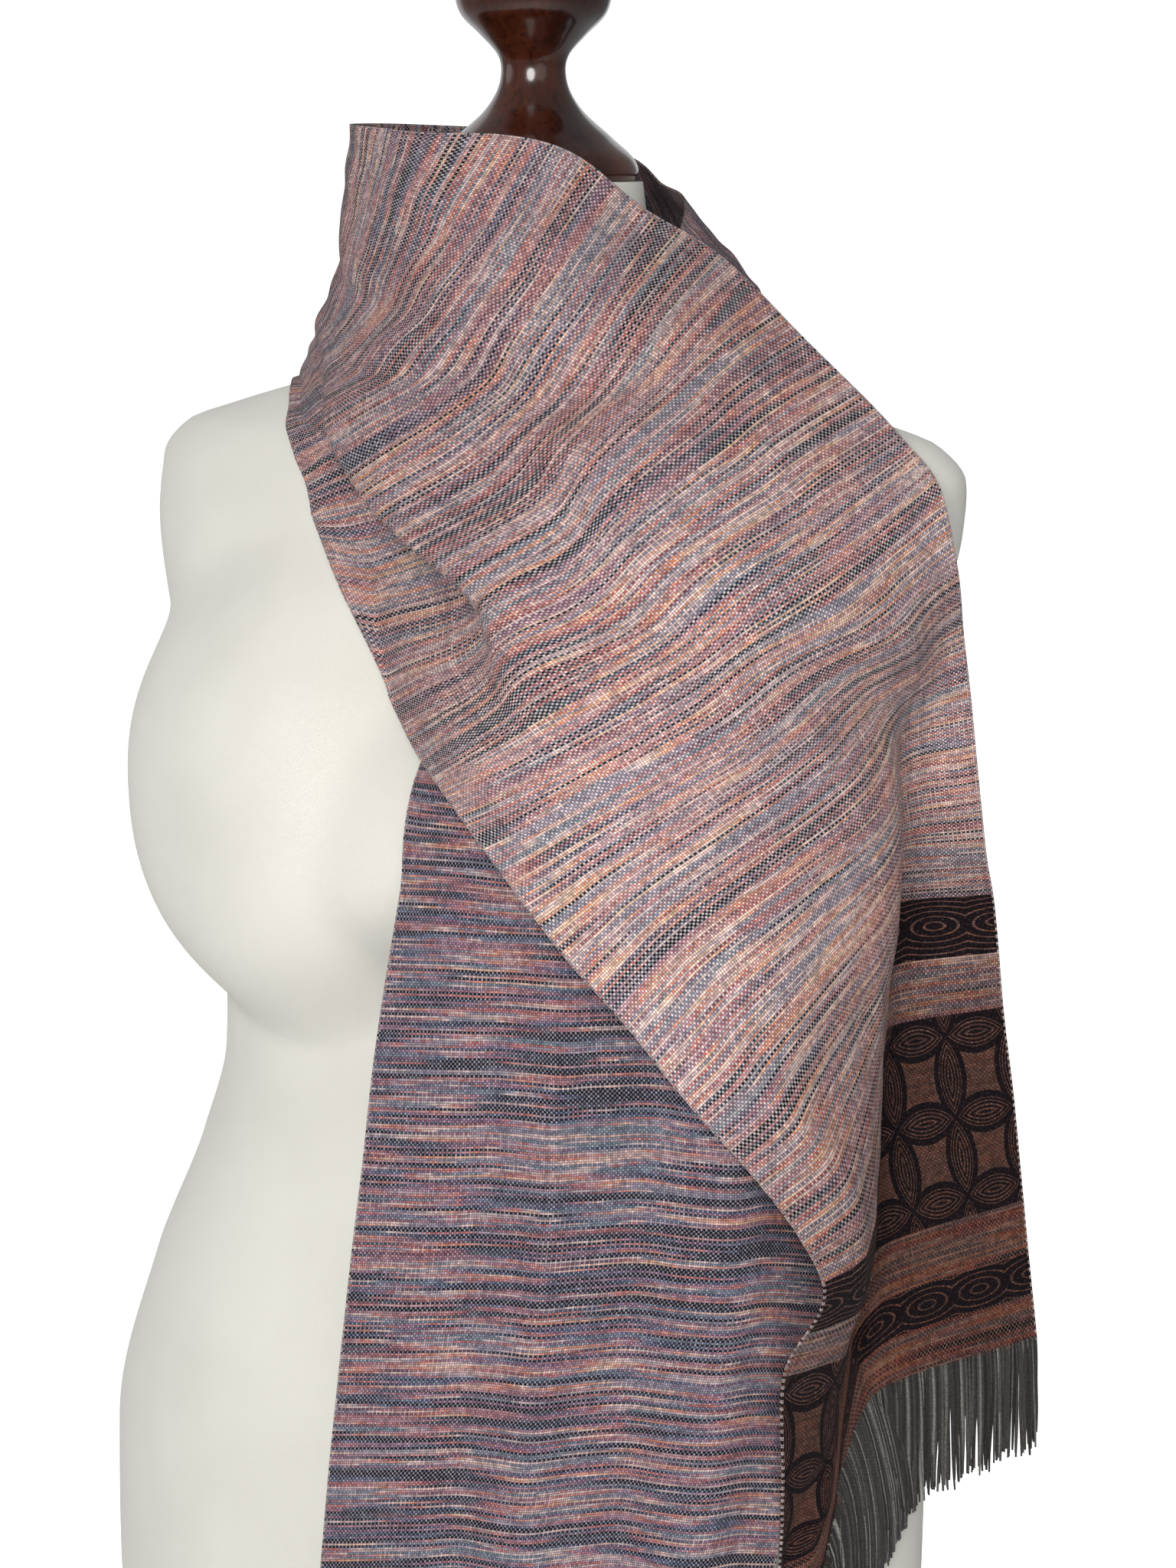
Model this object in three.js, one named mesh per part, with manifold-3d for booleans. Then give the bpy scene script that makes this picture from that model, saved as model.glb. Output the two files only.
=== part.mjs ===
// A handwoven scarf wound round the neck of a limbless dress form on a stand.
// Units are millimetres, +Z is up, the floor is z = 0 and the form faces -Y.
import * as THREE from "three";
import Module from "manifold-3d";

const wasm = await Module();
wasm.setup();

// Driving sizes of the scarf
const SCARF_WIDTH = 240; // from the edge at the neck to the free edge
const CLOTH_THICKNESS = 1.2;
const SEAM_GAP = 0.3; // between two pieces that meet
const FORM_CLEARANCE = 3.2; // from the form's skin to the middle of the cloth
const PROBE = 0.5; // step of the finite differences
const FRINGE_STRIP = 6; // depth of the strip that holds the fringe's roots
const STRAND_COUNT = 42; // in each fringe
const SIMPLIFY = 0.02; // shortest edge kept where strands join their strip
const STRAND_RADIUS = 1.1;

// Driving sizes of the form's stand
const NECK_TOP = 1438; // where the wooden cap starts
const FORM_BOTTOM = 762;
const POLE_RADIUS = 16;
const BASE_RADIUS = 190;
const BASE_HEIGHT = 24;
const BASE_ROUNDING = 6;
const RING_POINTS = 38; // round each section of the form

// Turns rows of values into objects with named columns.
function table(columns, rows) {
  return rows.map((row) => Object.fromEntries(columns.map((name, i) => [name, row[i]])));
}

// The form: level sections, each a rounded box about its own centre
const FORM = table(
  ["z", "halfWidth", "front", "back", "centreY", "power"],
  [
    [FORM_BOTTOM, 176, 112, 108, -22, 2.2],
    [820, 190, 120, 114, -24, 2.2],
    [888, 191, 120, 112, -22, 2.2],
    [964, 174, 114, 102, -16, 2.15],
    [1020, 154, 102, 88, -10, 2.1],
    [1060, 145, 96, 84, -6, 2.1],
    [1105, 146, 98, 88, -2, 2.15],
    [1171, 156, 102, 96, 0, 2.25],
    [1225, 167, 98, 100, 2, 2.4],
    [1262, 180, 90, 98, 4, 2.4],
    [1295, 190, 80, 92, 6, 2.3],
    [1318, 193, 72, 84, 8, 2.1],
    [1332, 182, 66, 76, 8, 2.0],
    [1342, 152, 62, 70, 8, 1.9],
    [1354, 110, 58, 64, 7, 1.9],
    [1370, 76, 54, 57, 5, 2.0],
    [1392, 57, 50, 52, 3, 2.0],
    [1415, 49, 47, 48, 1, 2.0],
    [NECK_TOP, 46, 46, 46, 0, 2.0],
  ],
);
const BUST = { z: 1160, fromFront: 38, swell: 40, halfAngle: 51, above: 137, below: 88 };

// The turned cap: its radius at each rise above the neck's top
const CAP = table(
  ["rise", "radius"],
  [
    [0, 42],
    [3, 44],
    [8, 43],
    [18, 33],
    [30, 20],
    [42, 14],
    [52, 15],
    [60, 22],
    [68, 30],
    [78, 33],
    [88, 32],
    [97, 25],
    [103, 14],
    [105, 4],
  ],
);

// The scarf's middle surface. A row is a weft thread at its distance from the front end's edge.
// Its five points run from the edge at the neck to the free edge.
const ACROSS = [0, 0.2, 0.5, 0.86, 1];
const WEFT_POINTS = ["neck", "upper", "middle", "lower", "free"];
const WEFTS = table(["at", ...WEFT_POINTS], [
  [0, [-18, -172, 575], [27, -167, 586], [82, -146, 592], [147, -116, 596], [168, -97, 592]],
  [300, [-5, -165, 879], [39, -162, 887], [92, -143, 891], [152, -118, 894], [168, -95, 889]],
  [446, [9, -156, 1029], [49, -154, 1033], [103, -137, 1037], [162, -105, 1037], [176, -60, 1025]],
  [555, [20, -145, 1141], [61, -149, 1145], [111, -137, 1146], [160, -106, 1141], [169, -71, 1133]],
  [618, [22, -121, 1205], [60, -129, 1206], [107, -130, 1205], [152, -106, 1201], [161, -71, 1194]],
  [672, [50, -119, 1262], [82, -121, 1260], [118, -116, 1255], [157, -94, 1250], [164, -61, 1244]],
  [732, [68, -83, 1324], [95, -84, 1318], [124, -74, 1305], [151, -47, 1292], [159, -31, 1286]],
  [789, [79, -49, 1380], [96, -45, 1371], [120, -36, 1356], [144, -21, 1337], [153, -13, 1329]],
  [854, [69, 5, 1423], [84, 5, 1407], [106, 6, 1386], [128, 11, 1364], [134, 20, 1354]],
  [943, [37, 42, 1438], [44, 62, 1416], [53, 86, 1386], [67, 108, 1345], [71, 115, 1329]],
  [990, [11, 64, 1448], [11, 87, 1420], [14, 112, 1379], [19, 129, 1328], [20, 134, 1309]],
  [1042, [-21, 64, 1458], [-28, 78, 1426], [-35, 93, 1378], [-41, 103, 1322], [-43, 107, 1301]],
  [1091, [-49, 39, 1461], [-62, 52, 1431], [-78, 66, 1382], [-92, 78, 1325], [-96, 83, 1304]],
  [1130, [-65, 2, 1462], [-78, 11, 1432], [-100, 30, 1383], [-123, 54, 1333], [-131, 63, 1311]],
  [1173, [-66, -38, 1462], [-70, -37, 1434], [-85, -28, 1387], [-116, 0, 1355], [-141, 34, 1341]],
  [1223, [-36, -61, 1460], [-45, -62, 1419], [-63, -57, 1379], [-91, -37, 1355], [-103, -27, 1343]],
  [1254, [-7, -71, 1458], [-11, -81, 1419], [-34, -83, 1371], [-78, -54, 1341], [-91, -45, 1329]],
  [1279, [26, -68, 1457], [19, -90, 1416], [-12, -99, 1368], [-62, -64, 1326], [-74, -54, 1309]],
  [1310, [52, -57, 1450], [51, -88, 1412], [29, -112, 1361], [-38, -80, 1300], [-60, -64, 1285]],
  [1347, [76, -35, 1427], [81, -83, 1391], [65, -124, 1336], [-7, -101, 1277], [-37, -84, 1259]],
  [1382, [100, -18, 1408], [109, -78, 1376], [95, -130, 1323], [26, -126, 1257], [-11, -101, 1234]],
  [1421, [135, -7, 1373], [136, -72, 1344], [115, -130, 1297], [50, -144, 1234], [20, -125, 1213]],
  [1463, [177, -9, 1337], [172, -64, 1314], [149, -130, 1273], [78, -161, 1216], [48, -145, 1199]],
  [1488, [198, -20, 1320], [187, -63, 1295], [163, -125, 1257], [97, -165, 1202], [70, -156, 1185]],
  [1511, [202, -12, 1291], [191, -42, 1273], [172, -108, 1241], [111, -165, 1187], [87, -160, 1170]],
  [1548, [193, 17, 1255], [182, -10, 1244], [183, -74, 1220], [132, -154, 1161], [112, -155, 1140]],
  [1575, [191, 30, 1229], [174, 3, 1222], [189, -50, 1197], [147, -141, 1142], [128, -146, 1119]],
  [1607, [191, 37, 1204], [170, 10, 1198], [187, -33, 1166], [166, -126, 1109], [148, -132, 1087]],
  [1639, [193, 40, 1179], [169, 12, 1175], [184, -28, 1128], [184, -104, 1078], [167, -116, 1058]],
  [1664, [195, 42, 1158], [169, 10, 1158], [181, -26, 1105], [194, -82, 1047], [181, -102, 1031]],
  [1683, [197, 44, 1144], [169, 8, 1144], [180, -26, 1087], [195, -72, 1018], [187, -93, 1011]],
  [1730, [202, 45, 1096], [171, -3, 1093], [174, -29, 1039], [183, -67, 972], [172, -97, 971]],
  [1773, [208, 45, 1055], [172, -14, 1048], [170, -38, 1003], [176, -69, 926], [171, -95, 927]],
  [1817, [214, 43, 1014], [178, -22, 1005], [168, -44, 961], [167, -74, 891], [169, -93, 888]],
  [1873, [224, 37, 956], [185, -27, 947], [168, -53, 919], [164, -76, 848], [165, -92, 836]],
]);

// The stretches of the scarf, by their distance along it
const FRONT_END = { from: 0, to: 854 };
const NECK_LOOP = { from: 854, to: 1173 };
const FRONT_PANEL = { from: 1173, to: 1683 };
const SIDE_END = { from: 1683, to: 1873 };

// The deep pleat in the front panel, where the cloth rolls over itself
const PLEAT = { from: 1236, to: 1388, acrossFrom: 168, acrossTo: 190, width: 13, reach: 30, height: 9 };

// Soft folds: a ridge, or a hollow where the height is negative, along a line on the cloth.
// turn is the line's angle from the scarf's length, towards the free edge.
const FOLDS = table(
  ["at", "across", "turn", "halfLength", "width", "height"],
  [
    [1330, 100, -38, 95, 16, -5],
    [1378, 190, 18, 45, 13, -9],
    [1400, 158, 14, 50, 14, 5],
    [1228, 90, 4, 60, 12, -3],
    [1262, 62, -30, 60, 14, 3],
    [200, 62, 0, 420, 17, -3.5],
    [200, 105, 0, 420, 17, 4],
    [220, 150, 0, 420, 17, -4],
    [220, 195, 0, 420, 17, 3.5],
    [760, 70, 0, 150, 15, 6],
    [760, 130, 0, 150, 15, -5],
    [760, 185, 0, 150, 15, 6],
    [1020, 120, 4, 120, 20, 4],
  ],
);

// The value at x of a curve that never overshoots its points, by cubics with harmonic slopes.
function monotone(xs, ys, x) {
  const last = xs.length - 1;
  const gaps = xs.slice(1).map((value, i) => value - xs[i]);
  const slopes = gaps.map((gap, i) => (ys[i + 1] - ys[i]) / gap);
  const tangent = (i) => {
    if (i === 0) return slopes[0];
    if (i === last) return slopes[last - 1];
    if (slopes[i - 1] * slopes[i] <= 0) return 0;
    const before = 2 * gaps[i] + gaps[i - 1];
    const after = gaps[i] + 2 * gaps[i - 1];
    return (before + after) / (before / slopes[i - 1] + after / slopes[i]);
  };
  return cubic(xs, ys, x, tangent);
}

// The value at x of a smooth curve through its points, by cubics with weighted mean slopes.
function smooth(xs, ys, x) {
  const last = xs.length - 1;
  const gaps = xs.slice(1).map((value, i) => value - xs[i]);
  const slopes = gaps.map((gap, i) => (ys[i + 1] - ys[i]) / gap);
  const inner = (i) => (slopes[i - 1] * gaps[i] + slopes[i] * gaps[i - 1]) / (gaps[i] + gaps[i - 1]);
  const tangent = (i) => {
    if (i === 0) return 2 * slopes[0] - inner(1);
    if (i === last) return 2 * slopes[last - 1] - inner(last - 1);
    return inner(i);
  };
  return cubic(xs, ys, x, tangent);
}

// The cubic between the two points on either side of x, from their values and tangents.
function cubic(xs, ys, x, tangent) {
  let i = 0;
  while (i < xs.length - 2 && x >= xs[i + 1]) i += 1;
  const gap = xs[i + 1] - xs[i];
  const t = (x - xs[i]) / gap;
  const s = 1 - t;
  const values = (1 + 2 * t) * s * s * ys[i] + t * t * (3 - 2 * t) * ys[i + 1];
  const turns = t * s * s * gap * tangent(i) - t * t * s * gap * tangent(i + 1);
  return values + turns;
}

const FORM_HEIGHTS = FORM.map((row) => row.z);
const formColumn = (name, z) => {
  const height = THREE.MathUtils.clamp(z, FORM_BOTTOM, NECK_TOP);
  return monotone(FORM_HEIGHTS, FORM.map((row) => row[name]), height);
};

// One bust's swell: a smooth bump in angle and height, nothing beyond its reach.
function bustSwell(angle, z, side) {
  const middle = THREE.MathUtils.degToRad(-90 + side * BUST.fromFront);
  const apart = Math.atan2(Math.sin(angle - middle), Math.cos(angle - middle));
  const sideways = THREE.MathUtils.radToDeg(apart) / BUST.halfAngle;
  const upright = (z - BUST.z) / (z > BUST.z ? BUST.above : BUST.below);
  const k = Math.max(0, 1 - sideways * sideways - upright * upright);
  return BUST.swell * k * k * (3 - 2 * k);
}

// A section of the form at one height, ready to give its radius at any angle.
function formSection(z) {
  const halfWidth = formColumn("halfWidth", z);
  const front = formColumn("front", z);
  const back = formColumn("back", z);
  const power = formColumn("power", z);
  return (angle) => {
    const across = Math.abs(Math.cos(angle)) / halfWidth;
    const deep = Math.abs(Math.sin(angle)) / (Math.sin(angle) < 0 ? front : back);
    const box = (across ** power + deep ** power) ** (-1 / power);
    return box + bustSwell(angle, z, -1) + bustSwell(angle, z, 1);
  };
}

// How far a point lies outside the form, measured on the level.
function outsideForm(x, y, z) {
  const fromCentre = y - formColumn("centreY", z);
  return Math.hypot(x, fromCentre) - formSection(z)(Math.atan2(fromCentre, x));
}

// Moves a point out of the form, square to its skin, until it is the clearance away.
function clearOfForm(point) {
  const rounds = 3;
  for (let round = 0; round < rounds && point.z < NECK_TOP; round += 1) {
    const { x, y, z } = point;
    const distance = outsideForm(x, y, z);
    const slope = new THREE.Vector3(
      outsideForm(x + PROBE, y, z) - outsideForm(x - PROBE, y, z),
      outsideForm(x, y + PROBE, z) - outsideForm(x, y - PROBE, z),
      outsideForm(x, y, z + PROBE) - outsideForm(x, y, z - PROBE),
    ).divideScalar(2 * PROBE);
    const push = FORM_CLEARANCE - distance / slope.length();
    if (push > 0) point.addScaledVector(slope.normalize(), push);
  }
  return point;
}

const WEFT_DISTANCES = WEFTS.map((row) => row.at);
const weftPath = (name, axis) => WEFTS.map((row) => row[name][axis]);
const WEFT_PATHS = WEFT_POINTS.map((name) => [0, 1, 2].map((axis) => weftPath(name, axis)));

// The point of the unfolded scarf at a distance along it and across it.
function plainPoint(at, across) {
  const axes = [0, 1, 2].map((axis) => {
    const weft = WEFT_PATHS.map((path) => smooth(WEFT_DISTANCES, path[axis], at));
    return monotone(ACROSS, weft, across / SCARF_WIDTH);
  });
  return new THREE.Vector3(...axes);
}

// Directions on a surface at a point: along the scarf, across it and out of it.
function directions(surface, at, across) {
  const along = surface(at + PROBE, across).sub(surface(at - PROBE, across)).normalize();
  const side = surface(at, across + PROBE).sub(surface(at, across - PROBE)).normalize();
  const out = new THREE.Vector3().crossVectors(side, along).normalize();
  return { along, side, out };
}

const bell = (x) => Math.exp(-x * x);
const ease = (x) => THREE.MathUtils.smoothstep(x, 0, 1);

// The pleat's two moves: across the cloth, where it doubles back, and out of it.
function pleatMoves(at, across) {
  const share = (at - PLEAT.from) / (PLEAT.to - PLEAT.from);
  const fade = ease(share / 0.3) * ease((1 - share) / 0.3);
  const middle = THREE.MathUtils.lerp(PLEAT.acrossFrom, PLEAT.acrossTo, share);
  const s = (across - middle) / PLEAT.width;
  const shift = -PLEAT.reach * fade * s * bell(s);
  const lift = -PLEAT.height * fade * Math.tanh(2 * s) * bell(s / 2);
  return { shift, lift };
}

// The height of all the soft folds together at a place on the cloth.
function foldHeight(at, across) {
  return FOLDS.reduce((height, fold) => {
    const turn = THREE.MathUtils.degToRad(fold.turn);
    const dAt = at - fold.at;
    const dAcross = across - fold.across;
    const along = dAt * Math.cos(turn) + dAcross * Math.sin(turn);
    const beside = dAcross * Math.cos(turn) - dAt * Math.sin(turn);
    return height + fold.height * bell(beside / fold.width) * bell((along / fold.halfLength) ** 2);
  }, 0);
}

// The scarf's middle surface with its pleat and folds, clear of the form.
function scarfPoint(at, across) {
  const { side, out } = directions(plainPoint, at, across);
  const { shift, lift } = pleatMoves(at, across);
  const point = plainPoint(at, across)
    .addScaledVector(side, shift)
    .addScaledVector(out, lift + foldHeight(at, across));
  return clearOfForm(point);
}

// A closed mesh from two sheets of points, the outer and the inner, joined by their four rims.
function wallGeometry(outer, inner) {
  const rows = outer.length;
  const columns = outer[0].length;
  const points = [...outer.flat(), ...inner.flat()];
  const id = (sheet, i, j) => sheet * rows * columns + i * columns + j;
  const faces = [];
  const quad = (a, b, c, d) => faces.push(a, b, c, a, c, d);
  for (let i = 0; i < rows - 1; i += 1) {
    for (let j = 0; j < columns - 1; j += 1) {
      quad(id(0, i, j), id(0, i, j + 1), id(0, i + 1, j + 1), id(0, i + 1, j));
      quad(id(1, i, j), id(1, i + 1, j), id(1, i + 1, j + 1), id(1, i, j + 1));
    }
    const end = columns - 1;
    quad(id(0, i, 0), id(0, i + 1, 0), id(1, i + 1, 0), id(1, i, 0));
    quad(id(0, i, end), id(1, i, end), id(1, i + 1, end), id(0, i + 1, end));
  }
  for (let j = 0; j < columns - 1; j += 1) {
    const end = rows - 1;
    quad(id(0, 0, j), id(1, 0, j), id(1, 0, j + 1), id(0, 0, j + 1));
    quad(id(0, end, j), id(0, end, j + 1), id(1, end, j + 1), id(1, end, j));
  }
  return geometryOf(points, faces);
}

function geometryOf(points, faces) {
  const geometry = new THREE.BufferGeometry().setFromPoints(points);
  geometry.setIndex(faces);
  geometry.computeVertexNormals();
  return geometry;
}

// Even steps from one value to another, no longer than the longest step.
function steps(from, to, longest) {
  const count = Math.ceil((to - from) / longest);
  return Array.from({ length: count + 1 }, (_, i) => from + ((to - from) * i) / count);
}

// Stations across the front end
const OPEN_STATIONS = steps(0, SCARF_WIDTH, 15);

// Stations across the rest, fine at the hollow, at the pleat and at the free edge
const CLOSE_STATIONS = [
  ...steps(0, 28, 14),
  ...steps(28, 68, 8).slice(1),
  ...steps(68, 148, 14).slice(1),
  ...steps(148, 208, 4.7).slice(1),
  ...steps(208, SCARF_WIDTH, 8).slice(1),
];

// One stretch of the scarf as a wall, half a seam's gap short of each neighbour.
function stretchGeometry(stretch, longestStep, across) {
  const rows = steps(stretch.from + SEAM_GAP / 2, stretch.to - SEAM_GAP / 2, longestStep);
  const half = CLOTH_THICKNESS / 2;
  const sheet = (side) =>
    rows.map((at) =>
      across.map((place) => {
        const { out } = directions(scarfPoint, at, place);
        return scarfPoint(at, place).addScaledVector(out, side * half);
      }),
    );
  return wallGeometry(sheet(1), sheet(-1));
}

// A geometry as a manifold solid, and a manifold solid as a geometry.
function solidOf(geometry) {
  const points = geometry.getAttribute("position").array;
  const mesh = new wasm.Mesh({
    numProp: 3,
    vertProperties: new Float32Array(points),
    triVerts: new Uint32Array(geometry.index.array),
  });
  return new wasm.Manifold(mesh);
}

function geometryFrom(solid) {
  const mesh = solid.getMesh();
  const points = [];
  for (let i = 0; i < mesh.numVert; i += 1) {
    points.push(new THREE.Vector3().fromArray(mesh.vertProperties, i * mesh.numProp));
  }
  return geometryOf(points, [...mesh.triVerts]);
}

// One strand: a three-sided thread through three points, thinner at its tip.
function strandGeometry(path) {
  const sides = 3;
  const radii = [STRAND_RADIUS, STRAND_RADIUS, STRAND_RADIUS * 0.6];
  const points = path.flatMap((middle, ring) =>
    Array.from({ length: sides }, (_, k) => {
      const angle = (2 * Math.PI * k) / sides;
      const offset = new THREE.Vector3(Math.cos(angle), Math.sin(angle), 0);
      return middle.clone().addScaledVector(offset, radii[ring]);
    }),
  );
  const faces = [0, 2, 1];
  for (let ring = 0; ring < path.length - 1; ring += 1) {
    for (let k = 0; k < sides; k += 1) {
      const next = (k + 1) % sides;
      const a = ring * sides + k;
      const b = ring * sides + next;
      faces.push(a, b, b + sides, a, b + sides, a + sides);
    }
  }
  const tip = (path.length - 1) * sides;
  faces.push(tip, tip + 1, tip + 2);
  // the path runs down, so every face is turned to look out
  for (let i = 0; i < faces.length; i += 3) [faces[i + 1], faces[i + 2]] = [faces[i + 2], faces[i + 1]];
  return geometryOf(points, faces);
}

// A fringe: a narrow strip just past the cloth's end, with strands that hang from it.
// The strip has the cloth's own stations across, so that the two keep their gap.
// beyond is -1 past the front end and +1 past the side end; length gives a strand's drop.
// lean moves the strands' tips, so that they hang clear of the cloth's slanting end.
function fringeGeometry(edge, beyond, across, lean, length) {
  const near = SEAM_GAP;
  const far = SEAM_GAP + FRINGE_STRIP;
  const half = CLOTH_THICKNESS / 2;
  const hang = (place, past) => {
    const { side, out } = directions(scarfPoint, edge, place);
    const ahead = out.clone().cross(side);
    return { point: scarfPoint(edge, place).addScaledVector(ahead, beyond * past), out };
  };
  const order = beyond < 0 ? [far, near] : [near, far];
  const sheet = (side) =>
    order.map((past) =>
      across.map((place) => {
        const { point, out } = hang(place, past);
        return point.addScaledVector(out, side * half);
      }),
    );
  const solids = [solidOf(wallGeometry(sheet(1), sheet(-1)))];
  for (let k = 0; k < STRAND_COUNT; k += 1) {
    const place = (SCARF_WIDTH * (k + 0.5)) / STRAND_COUNT;
    const root = hang(place, near + FRINGE_STRIP * 0.85).point;
    const sway = Math.sin(2.4 * k) * 1.1;
    const drop = length(place) + 4 * Math.sin(5.1 * k);
    const { side } = directions(scarfPoint, edge, place);
    const hung = (share) => {
      const point = root.clone().addScaledVector(side, sway * share).addScaledVector(lean, share);
      point.z -= drop * share;
      return clearOfForm(point);
    };
    solids.push(solidOf(strandGeometry([root, hung(0.45), hung(1)])));
  }
  return geometryFrom(wasm.Manifold.union(solids).simplify(SIMPLIFY));
}

// The form's body: rings of points at each height, closed by a flat disc at each end.
function formGeometry() {
  const heights = [
    ...steps(FORM_BOTTOM, 1240, 26),
    ...steps(1240, 1320, 16).slice(1),
    ...steps(1320, 1372, 6.5).slice(1),
    ...steps(1372, NECK_TOP, 17).slice(1),
  ];
  const points = heights.flatMap((z) => {
    const radiusAt = formSection(z);
    const centreY = formColumn("centreY", z);
    return Array.from({ length: RING_POINTS }, (_, k) => {
      const angle = (2 * Math.PI * k) / RING_POINTS;
      const radius = radiusAt(angle);
      return new THREE.Vector3(radius * Math.cos(angle), radius * Math.sin(angle) + centreY, z);
    });
  });
  const faces = [];
  for (let ring = 0; ring < heights.length - 1; ring += 1) {
    for (let k = 0; k < RING_POINTS; k += 1) {
      const next = (k + 1) % RING_POINTS;
      const a = ring * RING_POINTS + k;
      const b = ring * RING_POINTS + next;
      faces.push(a, b, b + RING_POINTS, a, b + RING_POINTS, a + RING_POINTS);
    }
  }
  const top = (heights.length - 1) * RING_POINTS;
  for (let k = 1; k < RING_POINTS - 1; k += 1) {
    faces.push(0, k + 1, k);
    faces.push(top, top + k, top + k + 1);
  }
  return geometryOf(points, faces);
}

// A turned piece: a profile of [radius, height] pairs spun about the upright axis.
function turned(profile, segments) {
  const outline = profile.map(([radius, height]) => new THREE.Vector2(radius, height));
  return new THREE.LatheGeometry(outline, segments).rotateX(Math.PI / 2);
}

function capGeometry() {
  const foot = NECK_TOP + SEAM_GAP;
  const side = CAP.map((row) => [row.radius, foot + row.rise]);
  const top = foot + CAP.at(-1).rise + 0.5;
  return turned([[0, foot], ...side, [0, top]], 26);
}

function poleGeometry() {
  const foot = BASE_HEIGHT + SEAM_GAP;
  const top = FORM_BOTTOM - SEAM_GAP;
  return turned([[0, foot], [POLE_RADIUS, foot], [POLE_RADIUS, top], [0, top]], 32);
}

function baseGeometry() {
  const inner = BASE_RADIUS - BASE_ROUNDING;
  const turns = [0, 30, 60, 90].map((angle) => THREE.MathUtils.degToRad(angle));
  const rim = turns.map((angle) => [
    inner + BASE_ROUNDING * Math.cos(angle),
    BASE_HEIGHT - BASE_ROUNDING + BASE_ROUNDING * Math.sin(angle),
  ]);
  return turned([[0, 0], [BASE_RADIUS, 0], ...rim, [0, BASE_HEIGHT]], 48);
}

// How far each fringe's strands lean and drop; the side end's hang longer towards the free edge.
const FRONT_LEAN = new THREE.Vector3(0, 0, 0);
const SIDE_LEAN = new THREE.Vector3(4, 10, 0);
const frontDrop = () => 85;
const sideDrop = (place) => 48 + 0.2 * place;

const MATERIALS = {
  cloth: { color: "#8f7577", roughness: 0.85, metalness: 0 },
  pattern: { color: "#5a4148", roughness: 0.85, metalness: 0 },
  fringe: { color: "#5c5d5d", roughness: 0.9, metalness: 0 },
  jersey: { color: "#e2ded4", roughness: 0.9, metalness: 0 },
  wood: { color: "#3b1d14", roughness: 0.3, metalness: 0 },
};

const group = new THREE.Group();
function add(name, geometry, material) {
  const mesh = new THREE.Mesh(geometry, new THREE.MeshStandardMaterial(MATERIALS[material]));
  mesh.name = name;
  group.add(mesh);
}

add("stand_base", baseGeometry(), "wood");
add("stand_pole", poleGeometry(), "wood");
add("dress_form", formGeometry(), "jersey");
add("neck_cap", capGeometry(), "wood");
add("scarf_front_end", stretchGeometry(FRONT_END, 26, OPEN_STATIONS), "cloth");
add("scarf_neck_loop", stretchGeometry(NECK_LOOP, 26, CLOSE_STATIONS), "cloth");
add("scarf_front_panel", stretchGeometry(FRONT_PANEL, 15, CLOSE_STATIONS), "cloth");
add("scarf_side_end", stretchGeometry(SIDE_END, 16, CLOSE_STATIONS), "pattern");
add("front_fringe", fringeGeometry(FRONT_END.from, -1, OPEN_STATIONS, FRONT_LEAN, frontDrop), "fringe");
add("side_fringe", fringeGeometry(SIDE_END.to, 1, CLOSE_STATIONS, SIDE_LEAN, sideDrop), "fringe");

export default group;
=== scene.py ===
import bpy
import numpy as np
from math import pi, radians
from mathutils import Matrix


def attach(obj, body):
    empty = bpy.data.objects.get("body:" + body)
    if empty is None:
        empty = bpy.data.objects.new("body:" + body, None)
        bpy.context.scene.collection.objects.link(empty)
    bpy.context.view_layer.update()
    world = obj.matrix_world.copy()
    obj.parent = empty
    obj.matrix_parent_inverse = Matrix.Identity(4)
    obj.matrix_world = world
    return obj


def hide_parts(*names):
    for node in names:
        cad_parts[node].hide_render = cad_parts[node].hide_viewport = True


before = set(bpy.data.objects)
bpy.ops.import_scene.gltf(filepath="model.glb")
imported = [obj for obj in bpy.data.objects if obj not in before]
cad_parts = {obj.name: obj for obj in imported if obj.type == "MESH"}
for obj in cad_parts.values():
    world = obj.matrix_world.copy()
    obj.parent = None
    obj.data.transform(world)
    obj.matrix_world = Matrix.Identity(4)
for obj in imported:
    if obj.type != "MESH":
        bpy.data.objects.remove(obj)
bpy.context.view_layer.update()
link = bpy.context.scene.collection.objects.link
print("frame loaded:", ", ".join(sorted(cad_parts)))

# Camera: turned round the form and tilted a little down
camera = {
    "place": (0.7848, -1.3136, 1.450),
    "azimuth": 30.0,
    "lookDown": 10.0,
    "lens": 82.2,  # mm
    "frame": 36.0,  # mm, its height
}
lens = bpy.data.cameras.new("camera")
lens.sensor_fit = "VERTICAL"
lens.sensor_height = camera["frame"]
lens.lens = camera["lens"]
eye = bpy.data.objects.new("camera", lens)
eye.location = camera["place"]
eye.rotation_euler = (radians(90 - camera["lookDown"]), 0, radians(camera["azimuth"]))
link(eye)
bpy.context.scene.camera = eye
print("camera placed")


# Finds the span of xs that holds each x: its index, its length and the share t of it.
def spanOf(xs, x):
    i = np.clip(np.searchsorted(xs, x, side="right") - 1, 0, len(xs) - 2)
    gap = (xs[i + 1] - xs[i])[:, None]
    return i, gap, (x - xs[i])[:, None] / gap


# Cubic between two points: (1+2t)s^2 a + t^2(3-2t) b + gap ts(s da - t db), with s = 1 - t.
def cubicBetween(gap, t, a, b, slopeA, slopeB):
    s = 1 - t
    return (1 + 2 * t) * s * s * a + t * t * (3 - 2 * t) * b + gap * t * s * (s * slopeA - t * slopeB)


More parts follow.
